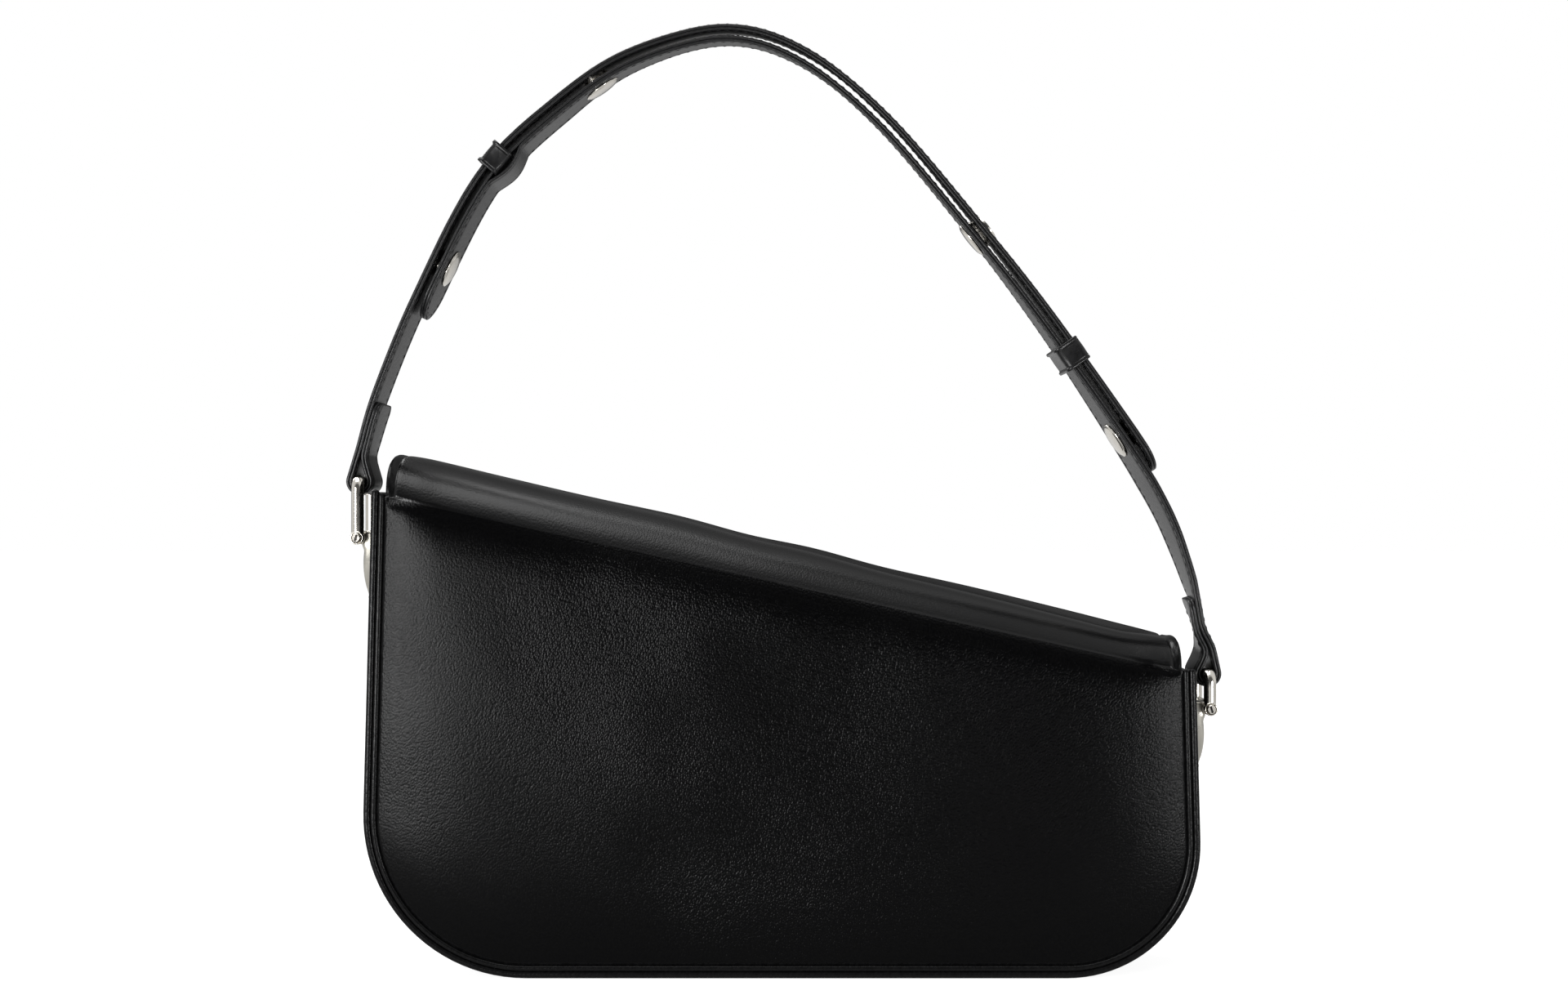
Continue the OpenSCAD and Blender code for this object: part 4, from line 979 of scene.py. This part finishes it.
def shackle(net, s, h):
    """A ring: bent wire h high that ends in an eye at each side of the lug."""
    bend = RING_R + 0.55
    path = [(-LEG_Y, 0.8)] + [(-LEG_Y, z) for z in np.linspace(2, h - bend, 5)]
    path += [(-LEG_Y + bend - bend * math.cos(a), h - bend + bend * math.sin(a))
             for a in np.radians([11, 22, 34, 45, 56, 68, 79, 90])]
    path += [(y, h) for y in np.linspace(-LEG_Y + bend, 0, 5)[1:]]
    path = np.array(path + [(-y, z) for y, z in path[::-1][1:]])
    tang = unit(np.gradient(path, axis=0))
    flat = np.zeros(len(path))
    sweep(net, np.stack([flat + s[0], path[:, 0], s[1] + path[:, 1]], 1), (1, 0, 0),
          np.stack([flat, tang[:, 1], -tang[:, 0]], 1), circle(RING_R, 28)[::-1])
    b = 0.25
    half = [(0, SCREW_R + 0.04), (EYE - 0.5, SCREW_R + 0.04), (EYE - 0.5, 1.66), (EYE - 0.06, 1.70), (EYE, 1.78),
            (EYE, BARREL_R - b), (EYE - b * 0.3, BARREL_R - b * 0.3), (EYE - b, BARREL_R)]
    prof = [(-e, r) for e, r in half[::-1]][:-1] + half
    for y in (-LEG_Y, LEG_Y):
        lathe(net, (s[0], y, s[1]), (0, 1, 0), (1, 0, 0), prof, 40)


def pin(net, s, side):
    """A screw through ring and lug: a round head at the front, and a slotted one at the rear."""
    r = HEAD_R
    front = [(0.5, r - 0.02), (0.72, r - 0.22), (0.85, r - 0.6), (0.85, 0.001)]
    lathe(net, (s[0], 0, s[1]), (0, 1, 0), (1, 0, 0),
          [(-PIN_END + 0.45, SCREW_R), (PIN_END - 0.45, SCREW_R), (PIN_END - 0.45, r - 0.1), (PIN_END - 0.35, r)]
          + [(PIN_END + h, q) for h, q in front], 36)
    rear = [(-0.45, SCREW_R), (-0.45, r - 0.1), (-0.35, r), (0.5, r - 0.02), (0.7, r - 0.12), (SLOT_TOP, r - 0.32)]
    lathe(net, (s[0], -PIN_END, s[1]), (0, -1, 0), (1, 0, 0), rear, 40)
    tilt = math.radians(90 + 17 * side)
    ax, az = math.cos(tilt), math.sin(tilt)

    def place(q, y):
        return s[0] + q[0] * ax - q[1] * az, -PIN_END - y, s[1] + q[0] * az + q[1] * ax

    edge_r = r - 0.32
    a0 = math.asin(SLOT / edge_r)
    for sg in (-1, 1):
        pts = [(edge_r * math.cos(a), sg * edge_r * math.sin(a)) for a in np.linspace(a0, math.pi - a0, 15)]
        ids = net.pts([place(q, SLOT_TOP) for q in pts])
        net.face(ids[::sg])
        a, b = pts[0], pts[-1]
        # The slot's walls and floor take material 1, the dark metal that is painted shade in the recess
        wall = net.pts([place(a, SLOT_TOP), place(b, SLOT_TOP), place(b, SLOT_FLOOR), place(a, SLOT_FLOOR)])
        net.face(wall[::-sg], 1)
    floor = [place((q, SLOT * t), SLOT_FLOOR) for q, t in ((-1.1, -1), (1.1, -1), (1.1, 1), (-1.1, 1))]
    net.face(net.pts(floor), 1)


def horn(net, s, side):
    """A lug in the gusset's own tilted frame: lofted horn, barrel and ball."""
    nrm, up = side_dirs(side)
    X, Z = np.array([nrm[0], 0, nrm[1]]), np.array([up[0], 0, up[1]])
    base = np.array([s[0], 0, s[1]]) - RING_OFF * X
    neck_r, tip_x, neck_z, root_z = BALL_R * 0.66, LUG_T * 0.76, BALL_R * 0.5 - LUG_H, -LUG_H * 0.36
    curves = (((0, root_z), (LUG_T * 0.06, -LUG_H * 0.68), (tip_x - neck_r, neck_z)),
              ((LUG_T, -BARREL_R), (LUG_T * 1.36, -LUG_H * 0.56), (tip_x + neck_r, neck_z)),
              ((BARREL_Y, -BARREL_R), (BARREL_Y * 0.85, -LUG_H * 0.6), (neck_r, neck_z)))
    inner, outer, wide = (np.array([bezier(*c, t) for t in np.linspace(0, 1, 60)]) for c in curves)
    levels = np.concatenate([[1.9, 1.2, 0.2, -1.0], np.linspace(-2.1, neck_z, 30)])
    secs = []
    for z in levels:
        low = z <= -BARREL_R
        xi = 0.02 if z > root_z else np.interp(-z, -inner[:, 1], inner[:, 0])
        xo = np.interp(-z, -outer[:, 1], outer[:, 0]) if low else RING_OFF - 0.6
        if low and z > -4.5:
            k = smooth01((z + 4.5) / 2.4)
            xo = xo * (1 - k) + (RING_OFF - 0.5) * k
        wy = np.interp(-z, -wide[:, 1], wide[:, 0]) if low else BARREL_Y
        mx, hx, flat = (xi + xo) / 2, (xo - xi) / 2, 0.35 if wy > 3 else 0.6
        secs.append([(mx + hx * math.copysign(abs(c) ** 0.5, c), wy * math.copysign(abs(d) ** flat, d))
                     for c, d in circle(1, 32)])
    sweep(net, [base + Z * z for z in levels], X, (0, 1, 0), np.array(secs)[:, ::side])
    half = [(BARREL_Y - 0.25, 2.1), (BARREL_Y - 0.1, 2.02), (BARREL_Y, 1.85), (BARREL_Y, SCREW_R + 0.02)]
    lathe(net, base + RING_OFF * X, (0, 1, 0), X, [(-y, r) for y, r in half[::-1]] + half, 40)
    ball = [(-BALL_R * math.cos(t), BALL_R * math.sin(t) + 1e-4) for t in np.linspace(0.35, math.pi, 14)]
    lathe(net, base + tip_x * X - LUG_H * Z, -Z, X, ball, 24)


for side, tag in ((-1, "left"), (1, "right")):
    net = Net()
    shackle(net, SCREW[side], BAR[side][1] - SCREW[side][1])
    net.make(f"{tag}_shackle", NICKEL, body=f"{tag}_ring", slot="polished_nickel", replaces=(f"{tag}_ring",))
    net = Net()
    pin(net, SCREW[side], side)
    # Its second material, in the slot, is painted shade
    ob = net.make(f"{tag}_pin", [NICKEL, PAINTED_SLOT_SHADE], body="bag", slot="polished_nickel", replaces=(f"{tag}_screw",))
    ob.data.polygons.foreach_set("use_smooth", [len(q.vertices) == 4 for q in ob.data.polygons])
    net = Net()
    horn(net, SCREW[side], side)
    net.make(f"{tag}_horn", SATIN, body="bag", slot="polished_nickel", replaces=(f"{tag}_lug",))

# ---- finishes of the CAD pieces that stay
for name, ob in nodes.items():
    if ob.hide_render:
        continue
    mat, slot = NICKEL, "steel" if "backing" in name or "lug_screws" in name else "polished_nickel"
    if name == "base_board":
        mat, slot = BOARD, "board"
    ob.data.materials.clear()
    ob.data.materials.append(mat)


# ---- stage, lamps and world
def ray_kinds(n, l):
    """Whether a ray comes straight from the camera, also through glass, and whether it is a reflection."""
    lp = n.new("ShaderNodeLightPath")
    direct = math_node(n, l, "MAXIMUM", lp.outputs["Is Camera Ray"], lp.outputs["Is Transmission Ray"])
    return direct, lp.outputs["Is Glossy Ray"]


floor_mat, n, l, p = new_mat("floor")
em = n.new("ShaderNodeEmission")
both = n.new("ShaderNodeAddShader")
seen, glossy = ray_kinds(n, l)
l.new(math_node(n, l, "ADD", math_node(n, l, "MULTIPLY", seen, 0.9), math_node(n, l, "MULTIPLY", glossy, 0.45)),
      em.inputs["Strength"])
put(p, Base_Color=(0.30, 0.30, 0.30, 1), Roughness=0.8, Specular_IOR_Level=0.0)
l.new(p.outputs[0], both.inputs[0])
l.new(em.outputs[0], both.inputs[1])
l.new(both.outputs[0], n["Material Output"].inputs["Surface"])
FAR, FLOOR_Z = 6000, -0.15
floor = add("floor", [(x * FAR, y * FAR, FLOOR_Z) for x, y in ((-1, -1), (1, -1), (1, 1), (-1, 1))], [(0, 1, 2, 3)],
            floor_mat)

# The world is white where it is seen. Reflections find it bright above, and dim before and behind the bag
world = bpy.data.worlds.new("world")
scene.world = world
world.use_nodes = True
n, l = world.node_tree.nodes, world.node_tree.links
bg = n["Background"]
tc = n.new("ShaderNodeTexCoord")
depth = axis(n, l, tc.outputs["Generated"], "Y")
env = math_node(n, l, "MINIMUM", span(n, l, depth, 0.12, 0.9, -0.75, -0.45), span(n, l, depth, 0.9, 0.16, 0.4, 0.8))
direct, glossy = ray_kinds(n, l)
plain = math_node(n, l, "SUBTRACT", 1.0, math_node(n, l, "MAXIMUM", direct, glossy))
around = math_node(n, l, "ADD", math_node(n, l, "MULTIPLY", glossy, env), math_node(n, l, "MULTIPLY", plain, 0.4))
l.new(math_node(n, l, "ADD", direct, around), bg.inputs["Strength"])
put(bg, Color=(1, 1, 1, 1))


def lamp(name, loc, target, size, power, size_y):
    d = bpy.data.lights.new(name, "AREA")
    d.shape = "RECTANGLE"
    d.size, d.size_y = size, size_y
    d.energy = power
    o = bpy.data.objects.new(name, d)
    scene.collection.objects.link(o)
    o.location = loc
    o.rotation_euler = Vector(np.subtract(target, loc)).to_track_quat("-Z", "Y").to_euler()


lamp("top", (-0.32, 0.02, 1.6), (-0.08, 0, 0.1), 1.25, 20, 1.2)
lamp("left", (-0.74, -1.0, 0.21), (0, 0, 0.10), 0.32, 14, 0.42)
lamp("left_low", (-0.28, -0.40, 0.055), (-0.11, -0.03, 0.055), 0.20, 0.95, 0.10)
lamp("right_low", (0.32, -0.30, 0.07), (0.122, -0.03, 0.07), 0.05, 0.8, 0.13)
lamp("front", (-0.75, 0.95, 0.95), (0, 0, 0.10), 0.7, 9, 0.7)

scene.view_settings.view_transform = "Standard"
